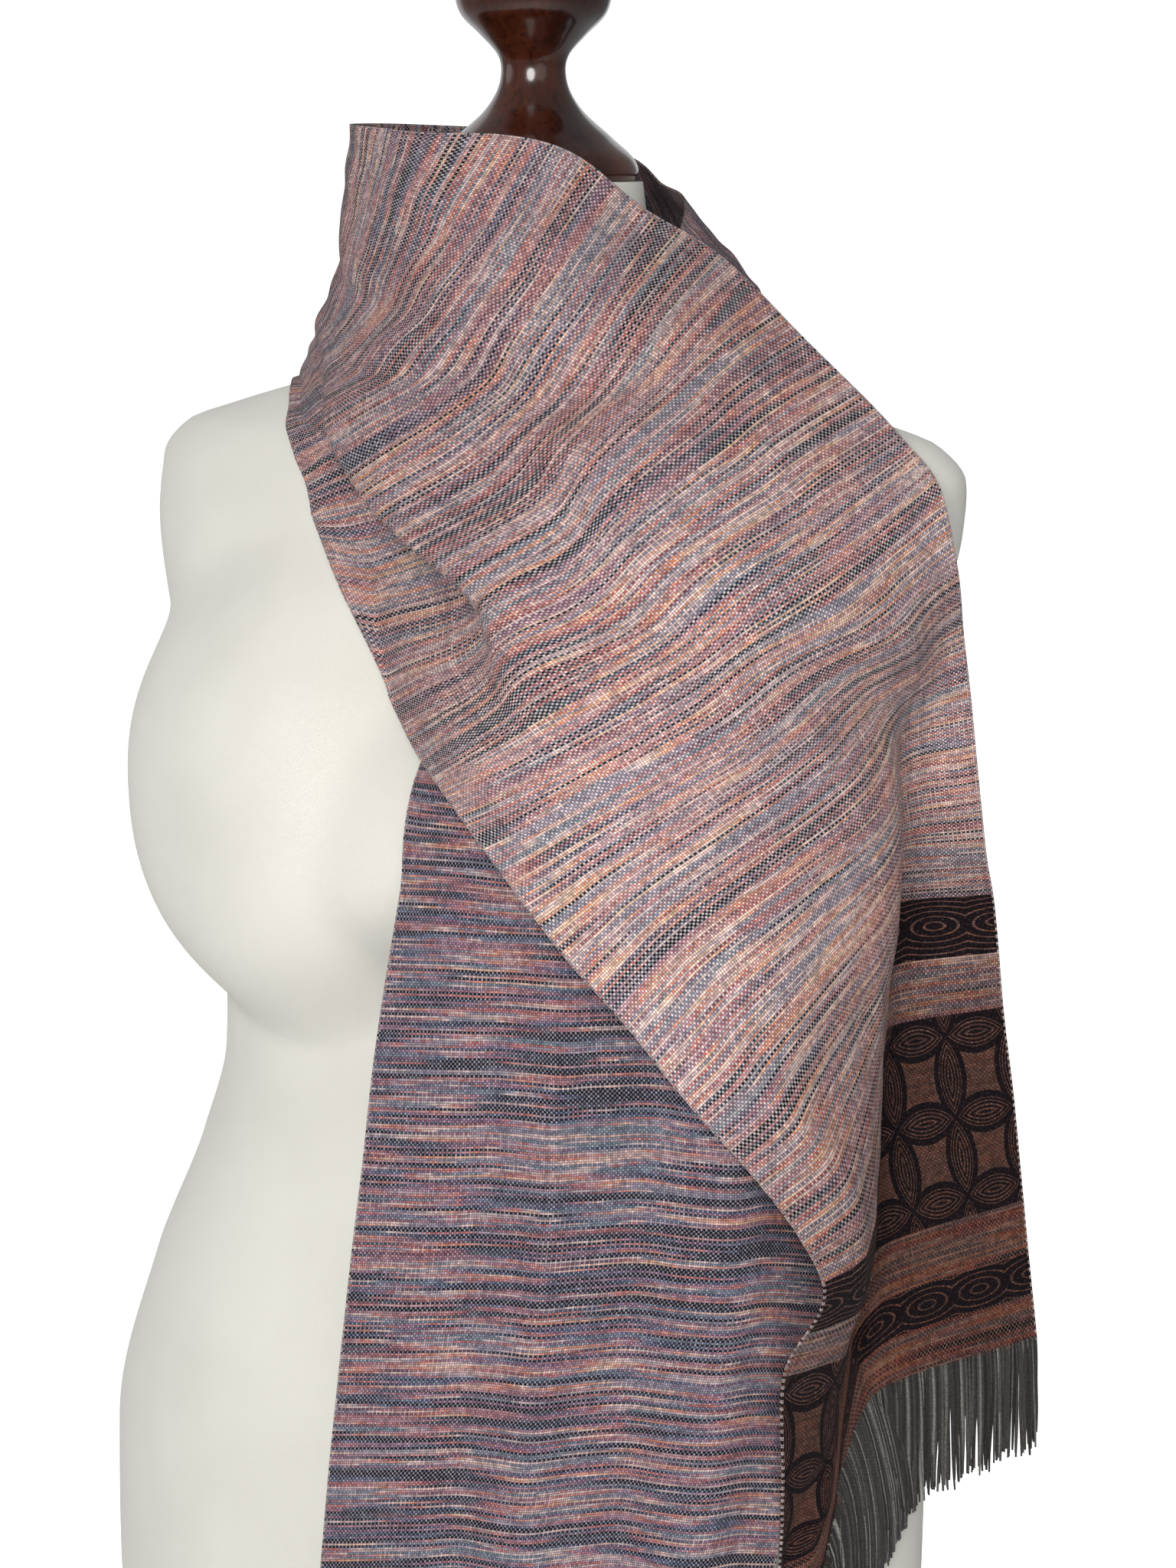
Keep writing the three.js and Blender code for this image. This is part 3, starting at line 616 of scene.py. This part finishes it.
# A function of a and b by a math node.
def mathOf(operation):
    return lambda a, b: calc(operation, a, b)


plus, minus, times, ratio, larger, exceeds = map(
    mathOf, ("ADD", "SUBTRACT", "MULTIPLY", "DIVIDE", "MAXIMUM", "GREATER_THAN"))


# 1 where value lies between low and high, 0 elsewhere.
def within(value, low, high):
    return times(exceeds(value, low), exceeds(high, value))


# 1 where the sine of value x turn is above the least, 0 elsewhere.
def stripes(value, turn, least):
    return exceeds(calc("SINE", times(value, turn)), least)


# A vector from its three values.
def joined(x=0.0, y=0.0, z=0.0):
    return newNode("ShaderNodeCombineXYZ", x, y, z).outputs[0]


# A vector's three values.
def split(vector):
    return newNode("ShaderNodeSeparateXYZ", vector).outputs


# Places on the cloth, or the strand and the place along it, from the mesh's own map.
def clothPlace(tree):
    node = tree.nodes.new("ShaderNodeUVMap")
    node.uv_map = "clothMap"
    return split(node.outputs[0])[:2]


# A point's place in the object, in m.
def objectPlace(tree):
    return tree.nodes.new("ShaderNodeTexCoord").outputs["Object"]


# Noise between 0 and 1 at place x scale, with finer noise added by detail.
def noise(vector, scale=1.0, detail=1.0):
    node = newNode("ShaderNodeTexNoise", vector)
    node.inputs["Scale"].default_value = scale
    node.inputs["Detail"].default_value = detail
    return node.outputs[0]


# A color between the two stops that the factor lies between, in proportion.
def ramp(factor, stops):
    node = newNode("ShaderNodeValToRGB", factor)
    band = node.color_ramp
    while len(band.elements) < len(stops):
        band.elements.new(1.0)
    for element, (place, color) in zip(band.elements, stops):
        element.position = place
        element.color = (*color, 1)
    return node.outputs[0]


# Two colors: mix gives (1 - factor) a + factor b, and multiply gives (1 - factor) a + factor a b.
def mixColor(mode, factor, a, b):
    node = treeOf(factor, a, b).nodes.new("ShaderNodeMix")
    node.data_type = "RGBA"
    node.blend_type = mode
    node.clamp_factor = True
    for number, value in ((0, factor), (6, a), (7, b)):
        feed(node.inputs[number], (*value, 1) if isinstance(value, tuple) else value)
    return node.outputs[2]


# Carries low..high onto newLow..newHigh in proportion, and holds at both ends.
def remap(value, low, high, newLow, newHigh):
    return newNode("ShaderNodeMapRange", value, low, high, newLow, newHigh).outputs[0]


# An empty shader group with its named inputs and outputs: values, and colors by the name Color.
def newGroup(name, inputs, outputs):
    tree = bpy.data.node_groups.new(name, "ShaderNodeTree")
    for labels, way in ((inputs, "INPUT"), (outputs, "OUTPUT")):
        for label in labels:
            kind = "NodeSocketColor" if label == "Color" else "NodeSocketFloat"
            tree.interface.new_socket(label, in_out=way, socket_type=kind)
    return tree, tree.nodes.new("NodeGroupInput").outputs, tree.nodes.new("NodeGroupOutput").inputs


# A shared group, with values for its named inputs.
def useGroup(group, **values):
    node = treeOf(*values.values()).nodes.new("ShaderNodeGroup")
    node.node_tree = group
    for label, value in values.items():
        feed(node.inputs[label], value)
    return node.outputs


# A material with a Principled shader, ready for its color, roughness and height.
def newMaterial(name, **constants):
    material = bpy.data.materials.new(name)
    material.use_nodes = True
    tree = material.node_tree
    shader = tree.nodes["Principled BSDF"]
    for label, value in constants.items():
        shader.inputs[label].default_value = value
    return material, tree, shader


# Gives a shader its color, and tilts its normal by height x distance as far as the strength says.
def cover(shader, color, height, distance, strength):
    node = treeOf(height).nodes.new("ShaderNodeBump")
    node.inputs["Strength"].default_value = strength
    node.inputs["Distance"].default_value = distance
    feed(node.inputs["Height"], height)
    feed(shader.inputs["Normal"], node.outputs[0])
    feed(shader.inputs["Base Color"], color)


# Lengths in m. Spans along the scarf: from, to, and the values there
weave = {
    "endPitch": 0.00105,  # from one warp thread to the next
    "pickPitch": 0.00096,  # from one weft thread to the next
    "roundness": 1.9,  # how a thread falls off across itself
    "warpArch": 1.35,  # and along
    "weftArch": 1.25,
    "threadBump": (0.0003, 0.6),
    "shade": (0.05, 0.80, 0.13, 1.15),  # thread heights from and to, and brightness there: painted shade in the gaps, painted highlight on the crowns
    "warpColor": (0.84, 0.76, 0.73),
    "shadedWarpColor": (0.44, 0.42, 0.47),  # in the front end: painted shade, darker and cooler
    "warpShadeSpan": (0.6, 1.45, 0.0, 1.0),  # from the shaded cool one to the warm one
    "warpShare": 0.64,  # how much of a warp crossing the warp covers
    "endTones": (2.37, 3.0, (0.66, 0.66, 0.70)),  # noise steps for each end and m, darkest end
    # weft dye by a place between 0 and 1, for the warmer and the cooler stretches
    "warmDye": [
        (0.0, (0.012, 0.01, 0.018)), (0.09, (0.022, 0.034, 0.054)), (0.19, (0.06, 0.088, 0.115)),
        (0.28, (0.19, 0.032, 0.052)), (0.38, (0.44, 0.085, 0.07)), (0.48, (0.48, 0.17, 0.165)),
        (0.57, (0.52, 0.28, 0.29)), (0.66, (0.68, 0.185, 0.065)), (0.76, (0.74, 0.44, 0.25)),
        (0.88, (0.8, 0.56, 0.52)), (1.0, (0.24, 0.2, 0.28)),
    ],
    "coolDye": [
        (0.0, (0.006, 0.008, 0.02)), (0.12, (0.012, 0.022, 0.056)), (0.25, (0.03, 0.064, 0.135)),
        (0.36, (0.1, 0.14, 0.24)), (0.46, (0.18, 0.06, 0.14)), (0.55, (0.29, 0.16, 0.26)),
        (0.64, (0.46, 0.085, 0.06)), (0.73, (0.3, 0.27, 0.37)), (0.84, (0.54, 0.35, 0.33)),
        (0.93, (0.56, 0.47, 0.47)), (1.0, (0.11, 0.17, 0.23)),
    ],
    "saturation": 0.95,
    # the weft's noises: steps for each m across, picks alike, seed, detail, share
    "yarnNoises": [(12.0, 1.0, 1.3, 1.0, 0.46), (9.5, 2.0, 7.7, 1.0, 0.26), (6.5, 7.0, 4.2, 0.0, 0.12)],
    "slowNoise": (13.0, 70.0, 3.1, 0.20),  # steps for each m across and along, seed, share
    "hueNoise": (8.0, 2.0, 9.4, 1.0),
    "hueSpan": (0.36, 0.64, -0.6, 0.6),  # noise from and to, and the warmth it adds
    "pickStep": 3.73,  # noise steps from pick to pick
    "Warmth": (0.95, 1.45, 0.30, 0.82),  # cooler in the front end, warmer towards the side end
    "Paleness": (0.80, 1.55, -0.07, 0.14),
    "Contrast": (0.80, 1.30, 6.8, 5.8),
    # place along and share of the darkening, painted shade with some brown tint, least where the panel
    # ends
    "brownAndShade": [(1.36, 0.24), (1.50, 0.05), (1.60, 0.05), (1.75, 0.94)],
    # the darkening's color: painted shade with a brown tint
    "endTintAndShade": (0.185, 0.105, 0.073),
    "plum": (0.006, 0.004, 0.007),
    "bandGround": (0.125, 0.064, 0.048),
    "bandShares": (0.75, 0.9),  # how much of it weft and warp take on
    "cell": 0.035,  # one motif of the wide band, along
    "cellAcross": 0.03,  # and across it
    # bands by their distance from the cloth's end
    "narrowBands": [(0.018, 0.034), (0.165, 0.19)],
    "wideBand": (0.056, 0.143),
    "border": 0.0085,  # the wide band's dark borders
    "lensRim": (-0.08, 0.04),  # g of a lens's dark rim
    "lines": (0.058, -0.25),  # g from line to line, and the least sine drawn
    "arcs": (96.0, -0.78, 0.30),  # narrow bands: turn, least sine, arcs' height in a cell
    "floats": (5.0, 2.0),  # ends from dive to dive, and their shift for each pick
    "floatCover": (0.84, 0.98),  # where a float dives, and elsewhere
    "selvage": 0.001,  # the pale beaded edge
    "selvageColor": (0.36, 0.31, 0.30),
    "bead": 0.003,  # from one bead to the next
    "speck": (0.61, (0.70, 0.69, 0.72), (1.33, 1.29, 1.27)),  # noise step, darkest, palest
}


# Plain weave: warp shows on every other crossing, weft on the rest.
# Height of a thread is (1 - (roundness a)^2)(1 - (arch b)^2), a across it and b along it.
def plainWeaveGroup():
    tree, given, out = newGroup(
        "plain weave", ["Across", "Along"], ["Pick", "End", "Warp On Top", "Height"])
    ends = ratio(given["Across"], weave["endPitch"])
    picks = ratio(given["Along"], weave["pickPitch"])
    end, pick = calc("FLOOR", ends), calc("FLOOR", picks)
    a = minus(minus(ends, end), 0.5)
    b = minus(minus(picks, pick), 0.5)
    parity = calc("FLOORED_MODULO", plus(end, pick), 2.0)
    warpOnTop = minus(1.0, parity)

    def profile(value, spread):
        scaled = times(value, spread)
        return minus(1.0, times(scaled, scaled))

    warp = times(profile(a, weave["roundness"]), profile(b, weave["warpArch"]))
    weft = times(profile(b, weave["roundness"]), profile(a, weave["weftArch"]))
    mixed = plus(times(warp, warpOnTop), times(weft, parity))
    for label, value in (("Pick", pick), ("End", end), ("Warp On Top", warpOnTop), ("Height", mixed)):
        feed(out[label], value)
    return tree


# Variegated weft: a dye place 0.5 + paleness + contrast x sum of share (noise - 0.5).
# The noises change from pick to pick, from two picks to two, from seven to seven and slowly,
# and each runs on along the yarn. Saturation then fades the dye a little.
def weftDyeGroup():
    tree, given, out = newGroup(
        "weft dye", ["Across", "Along", "Pick", "Warmth", "Paleness", "Contrast"], ["Color"])

    def yarnNoise(run, picks, seed, detail):
        row = calc("FLOOR", ratio(given["Pick"], picks))
        place = joined(times(given["Across"], run), times(row, weave["pickStep"]), seed)
        return noise(place, detail=detail)

    parts = [(yarnNoise(*values), share) for *values, share in weave["yarnNoises"]]
    run, rise, seed, share = weave["slowNoise"]
    slow = joined(times(given["Across"], run), times(given["Along"], rise), seed)
    total = 0.0
    for value, share in [*parts, (noise(slow), share)]:
        total = plus(total, times(minus(value, 0.5), share))
    middle = plus(0.5, given["Paleness"])
    dyePlace = plus(middle, times(total, given["Contrast"]))
    hue = yarnNoise(*weave["hueNoise"])
    warmth = plus(given["Warmth"], remap(hue, *weave["hueSpan"]))
    warm = ramp(dyePlace, weave["warmDye"])
    cool = ramp(dyePlace, weave["coolDye"])
    faded = tree.nodes.new("ShaderNodeHueSaturation")
    faded.inputs["Saturation"].default_value = weave["saturation"]
    feed(faded.inputs["Color"], mixColor("MIX", warmth, cool, warm))
    feed(out["Color"], faded.outputs["Color"])
    return tree


# Overshot bands: lenses between rings of circles, drawn as nested fine lines, round plain stars.
# In a cell from -0.5 to 0.5, a lens is where g = 0.5 - (x^2 + y^2 + 1 - 2 max(|x|, |y|)) > 0.
# Borders carry the same lines, and narrow bands carry arcs by their distance sqrt(x^2 + y^2).
def overshotGroup():
    tree, given, out = newGroup(
        "overshot bands", ["Across", "From End"], ["Float Mask", "Band Mask"])
    fromEnd, cell = given["From End"], weave["cell"]
    lineStep, lineLeast = weave["lines"]
    arcTurns, arcLeast, arcHeight = weave["arcs"]
    column = ratio(given["Across"], weave["cellAcross"])
    low, high = weave["wideBand"]
    border = weave["border"]

    def centred(value):
        return calc("ABSOLUTE", minus(calc("FRACT", value), 0.5))

    x = centred(column)
    y = centred(ratio(minus(fromEnd, low + border), cell))
    radial = plus(times(x, x), times(y, y))
    longer = times(larger(x, y), 2.0)
    g = minus(0.5, minus(plus(radial, 1.0), longer))
    inBorder = minus(1.0, within(fromEnd, low + border, high - border))
    drawn = larger(exceeds(g, weave["lensRim"][0]), inBorder)
    inRim = within(g, *weave["lensRim"])
    lines = larger(stripes(g, 2 * pi / lineStep, lineLeast), inRim)
    wide = within(fromEnd, low, high)
    bandMask, floatMask = wide, times(wide, times(drawn, lines))
    for low, high in weave["narrowBands"]:
        band = within(fromEnd, low, high)
        up = ratio(minus(fromEnd, (low + high) / 2), cell)
        beside = centred(plus(column, 0.5))
        aside = times(beside, arcHeight)
        rings = calc("SQRT", plus(times(aside, aside), times(up, up)))
        arcs = stripes(rings, arcTurns, arcLeast)
        bandMask = plus(bandMask, band)
        floatMask = plus(floatMask, times(band, arcs))
    feed(out["Float Mask"], floatMask)
    feed(out["Band Mask"], bandMask)
    return tree


plainWeave, weftDye, overshotBands = plainWeaveGroup(), weftDyeGroup(), overshotGroup()


# Scarf cloth: dyed weft and light grey warp in plain weave, with dark overshot bands near the ends.
# Color = weft (1 - warp share) + warp x warp share, times a painted shade by the threads' height, darker
# in the gaps and brighter on the crowns.
def clothMaterial():
    material, tree, shader = newMaterial("handwoven cloth", **{
        "Roughness": 0.85, "Sheen Weight": 0.03, "Sheen Roughness": 0.45, "Specular IOR Level": 0.10,
    })
    across, along = clothPlace(tree)
    length = scarf["length"] / 1000
    fromEnd = calc("MINIMUM", along, minus(length, along))
    threads = useGroup(plainWeave, Across=across, Along=along)
    spans = {label: remap(along, *weave[label]) for label in ("Warmth", "Paleness", "Contrast")}
    weft = useGroup(weftDye, Across=across, Along=along, Pick=threads["Pick"], **spans)["Color"]
    # a ramp runs from 0 to 1, so places along are halved
    stops = [(place / 2, (share,) * 3) for place, share in weave["brownAndShade"]]
    brownAndShade = ramp(ratio(along, 2.0), stops)
    # painted shade with some brown tint: the weft darkens a little up to the panel, least in the panel,
    # most down the side end
    weft = mixColor("MULTIPLY", brownAndShade, weft, weave["endTintAndShade"])
    bands = useGroup(overshotBands, **{"Across": across, "From End": fromEnd})
    weftTakes, warpTakes = (times(bands["Band Mask"], share) for share in weave["bandShares"])
    ground = mixColor("MIX", weftTakes, weft, weave["bandGround"])
    endStep, alongStep, darkest = weave["endTones"]
    endPlace = joined(times(threads["End"], endStep), times(along, alongStep))
    endTone = ramp(noise(endPlace), [(0.35, darkest), (0.65, (1, 1, 1))])
    # painted shade: the warp is darker and cooler in the front end
    warm = remap(along, *weave["warpShadeSpan"])
    warp = mixColor("MIX", warm, weave["shadedWarpColor"], weave["warpColor"])
    warp = mixColor("MULTIPLY", 1.0, warp, endTone)
    # the same painted shade and brown tint on the warp
    warp = mixColor("MULTIPLY", brownAndShade, warp, weave["endTintAndShade"])
    warp = mixColor("MULTIPLY", warpTakes, warp, weave["bandGround"])
    warpShare = times(threads["Warp On Top"], weave["warpShare"])
    plain = mixColor("MIX", warpShare, ground, warp)
    # floats cover the warp for a few ends and then dive
    span, shift = weave["floats"]
    shifted = plus(threads["End"], times(threads["Pick"], shift))
    covers = exceeds(calc("FLOORED_MODULO", shifted, span), 0.5)
    floatShare = times(bands["Float Mask"], remap(covers, 0.0, 1.0, *weave["floatCover"]))
    colored = mixColor("MIX", floatShare, plain, weave["plum"])
    # the edge: pale beads, one for every few picks
    halfWidth = scarf["width"] / 2000
    outer = calc("ABSOLUTE", minus(across, halfWidth))
    atEdge = exceeds(outer, halfWidth - weave["selvage"])
    bead = stripes(along, 2 * pi / weave["bead"], 0.0)
    colored = mixColor("MIX", times(atEdge, bead), colored, weave["selvageColor"])
    # threads differ a little in tone from crossing to crossing
    step, darkest, palest = weave["speck"]
    crossing = joined(times(threads["End"], step), times(threads["Pick"], step), 5.5)
    speck = ramp(noise(crossing), [(0.36, darkest), (0.64, palest)])
    colored = mixColor("MULTIPLY", 1.0, colored, speck)
    # painted shade between the threads and painted highlight on their crowns
    shade = remap(threads["Height"], *weave["shade"])
    shaded = mixColor("MULTIPLY", 1.0, colored, joined(shade, shade, shade))
    cover(shader, shaded, threads["Height"], *weave["threadBump"])
    return material


yarn = {
    # the yarn's charcoal greys, darkened as painted shade
    "dark": (0.016, 0.015, 0.0145),
    "middle": (0.044, 0.042, 0.040),
    "pale": (0.090, 0.086, 0.081),
    "light": (0.27, 0.258, 0.242),
    "twist": 0.0011,  # m from one turn of the ply to the next
    "slant": 0.7,  # sideways for each m along
    "twistBump": (0.00012, 0.6),
    "fuzz": (900.0, 0.62, 1.15),  # noise steps for each m, darkest and palest
}


# Fringe yarn: each strand's grey times fine noise, and a twist by the sine of z + slant x. The greys are
# the yarn's own charcoal, darkened further as painted shade.
def fringeMaterial():
    material, tree, shader = newMaterial("fringe yarn", **{
        "Roughness": 0.85, "Sheen Weight": 0.12, "Sheen Roughness": 0.5, "Specular IOR Level": 0.2,
    })
    strand, _ = clothPlace(tree)
    place = objectPlace(tree)
    scale, darkest, palest = yarn["fuzz"]
    fuzz = ramp(noise(place, scale, 2.0), [(0.3, (darkest,) * 3), (0.7, (palest,) * 3)])
    tones = [(0.0, yarn["dark"]), (0.55, yarn["middle"]), (0.86, yarn["pale"]), (1.0, yarn["light"])]
    color = mixColor("MULTIPLY", 1.0, ramp(strand, tones), fuzz)
    x, _, z = split(place)
    turns = times(plus(z, times(x, yarn["slant"])), 2 * pi / yarn["twist"])
    cover(shader, color, calc("SINE", turns), *yarn["twistBump"])
    return material


jersey = {
    "light": (0.775, 0.765, 0.710),
    "shade": (0.725, 0.715, 0.660),
    "wale": 0.0009,  # m between knit columns
    "girth": 0.15,  # m, radius where they are that far apart
    "course": 0.8,  # a row's height over a column's width
    "knitBump": (0.00008, 0.35),
    "cloud": 14.0,  # noise steps for each m
}


# Jersey: knit height sin(turn) sin(rise) of fine wales and courses, and a faintly cloudy color.
def jerseyMaterial():
    material, tree, shader = newMaterial("cream jersey", **{
        "Roughness": 0.85, "Sheen Weight": 0.2, "Sheen Roughness": 0.6, "Specular IOR Level": 0.25,
    })
    place = objectPlace(tree)
    x, y, z = split(place)
    turn = calc("ARCTAN2", y, x)
    wales = calc("SINE", times(turn, 2 * pi * jersey["girth"] / jersey["wale"]))
    courses = calc("SINE", times(z, 2 * pi / (jersey["wale"] * jersey["course"])))
    cloud = noise(place, jersey["cloud"], 4.0)
    color = ramp(cloud, [(0.35, jersey["shade"]), (0.62, jersey["light"])])
    cover(shader, color, times(wales, courses), *jersey["knitBump"])
    return material


wood = {
    "dark": (0.016, 0.0040, 0.0025),
    "middle": (0.050, 0.0115, 0.0052),
    "light": (0.105, 0.0270, 0.0110),
    "gloss": 0.16,  # roughness of whole varnish
    "wear": 0.14,  # and how much it gains elsewhere
    "pores": 14.0,  # how much finer than the grain they are
    "poreBump": (0.00006, 0.25),
    "upright": (30.0, 30.0, 3.0),  # scales of x, y and z for the grain
    "level": (3.0, 34.0, 34.0),
}


# Varnished wood: grain is noise at place x stretch, drawn out where that is lowest, and pores
# are the same at a finer scale. The grain also wears the gloss.
def woodMaterial(name, stretch):
    material, tree, shader = newMaterial(name, **{
        "Roughness": 0.3, "Coat Weight": 0.45, "Coat Roughness": 0.08, "Specular IOR Level": 0.45,
    })
    place = objectPlace(tree)
    sides = list(zip(split(place), stretch))
    grain = noise(joined(*(times(value, scale) for value, scale in sides)), detail=3.0)
    fine = joined(*(times(value, wood["pores"] * scale) for value, scale in sides))
    pores = noise(fine, detail=2.0)
    color = ramp(grain, [(0.32, wood["dark"]), (0.50, wood["middle"]), (0.68, wood["light"])])
    poreTone = ramp(pores, [(0.38, (0.35, 0.3, 0.3)), (0.5, (1, 1, 1))])
    color = mixColor("MULTIPLY", 0.6, color, poreTone)
    worn = remap(grain, 0.3, 0.7, wood["gloss"], wood["gloss"] + wood["wear"])
    feed(shader.inputs["Roughness"], worn)
    cover(shader, color, pores, *wood["poreBump"])
    return material


# Gives a piece its material and its body, and hides the nodes that it replaces. The slot is not used.
def dress(piece, material, slot, *nodes):
    piece.data.materials.append(material)
    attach(piece, "root")
    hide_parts(*nodes)


clothFinish, yarnFinish = clothMaterial(), fringeMaterial()
woodFinish = woodMaterial("varnished wood", wood["upright"])
baseFinish = woodMaterial("varnished wood base", wood["level"])
dress(scarfCloth, clothFinish, "cloth",
      "scarf_front_end", "scarf_neck_loop", "scarf_front_panel", "scarf_side_end")
dress(frontFringe, yarnFinish, "fringe", "front_fringe")
dress(sideFringe, yarnFinish, "fringe", "side_fringe")
dress(formJersey, jerseyMaterial(), "jersey", "dress_form")
dress(neckCap, woodFinish, "wood", "neck_cap")
dress(standPole, woodFinish, "wood", "stand_pole")
dress(standBase, baseFinish, "wood", "stand_base")
print("materials set")

studio = {
    "floorSize": 400.0,  # m, half a side
    "floorColor": (0.82, 0.82, 0.82),
    "backdrop": 1.2,  # brightness seen behind the part
    "floorGlow": 0.95,  # added brightness seen on the floor
    "daylight": ((0.97, 0.99, 1.0), 0.26),
    # place, size, power, tint and aim of each lamp
    "lamps": {
        "key": ((0.95, -2.45, 2.05), 1.3, 61.0, (1.0, 0.985, 0.96), (0.0, 0.0, 1.15)),
        "back": ((-2.0, 2.4, 1.6), 4.5, 30.0, (0.98, 0.99, 1.0), (0.0, 0.0, 1.1)),
        "side": ((2.4, -1.6, 1.7), 2.2, 10.0, (1.0, 0.96, 0.92), (0.1, 0.0, 1.1)),
        "fill": ((-2.2, -1.0, 1.7), 1.4, 5.0, (0.97, 0.98, 1.0), (0.0, 0.0, 1.1)),
    },
}


# A wide pale floor, a bright backdrop and soft lamps.
# The camera's own rays see floor and backdrop brighter than the light they give.
def buildStudio():
    far = studio["floorSize"] * 1000
    ground = np.array([(-far, -far, 0), (far, -far, 0), (far, far, 0), (-far, far, 0)], float)
    floor = makeMesh("floor", ground, [np.array([[0, 1, 2, 3]])])
    material, tree, shader = newMaterial("pale floor", **{"Roughness": 0.9, "Specular IOR Level": 0.1})
    shader.inputs["Base Color"].default_value = (*studio["floorColor"], 1)
    shader.inputs["Emission Color"].default_value = (1, 1, 1, 1)
    seen = tree.nodes.new("ShaderNodeLightPath").outputs["Is Camera Ray"]
    feed(shader.inputs["Emission Strength"], times(seen, studio["floorGlow"]))
    floor.data.materials.append(material)
    world = bpy.data.worlds.new("studio")
    world.use_nodes = True
    sky = world.node_tree
    color, strength = studio["daylight"]
    background = sky.nodes["Background"]
    background.inputs[0].default_value = (*color, 1)
    seen = sky.nodes.new("ShaderNodeLightPath").outputs["Is Camera Ray"]
    feed(background.inputs[1], remap(seen, 0.0, 1.0, strength, studio["backdrop"]))
    bpy.context.scene.world = world
    for name, (place, size, power, tint, aim) in studio["lamps"].items():
        lampData = bpy.data.lights.new(name, "AREA")
        lampData.shape = "DISK"
        lampData.size = size
        lampData.energy = power
        lampData.color = tint
        lamp = bpy.data.objects.new(name, lampData)
        lamp.location = place
        away = lamp.location.copy()
        away.x, away.y, away.z = (a - b for a, b in zip(place, aim))
        lamp.rotation_euler = away.to_track_quat("Z", "Y").to_euler()
        link(lamp)


buildStudio()
bpy.context.scene.view_settings.view_transform = "Standard"
print("studio lit")
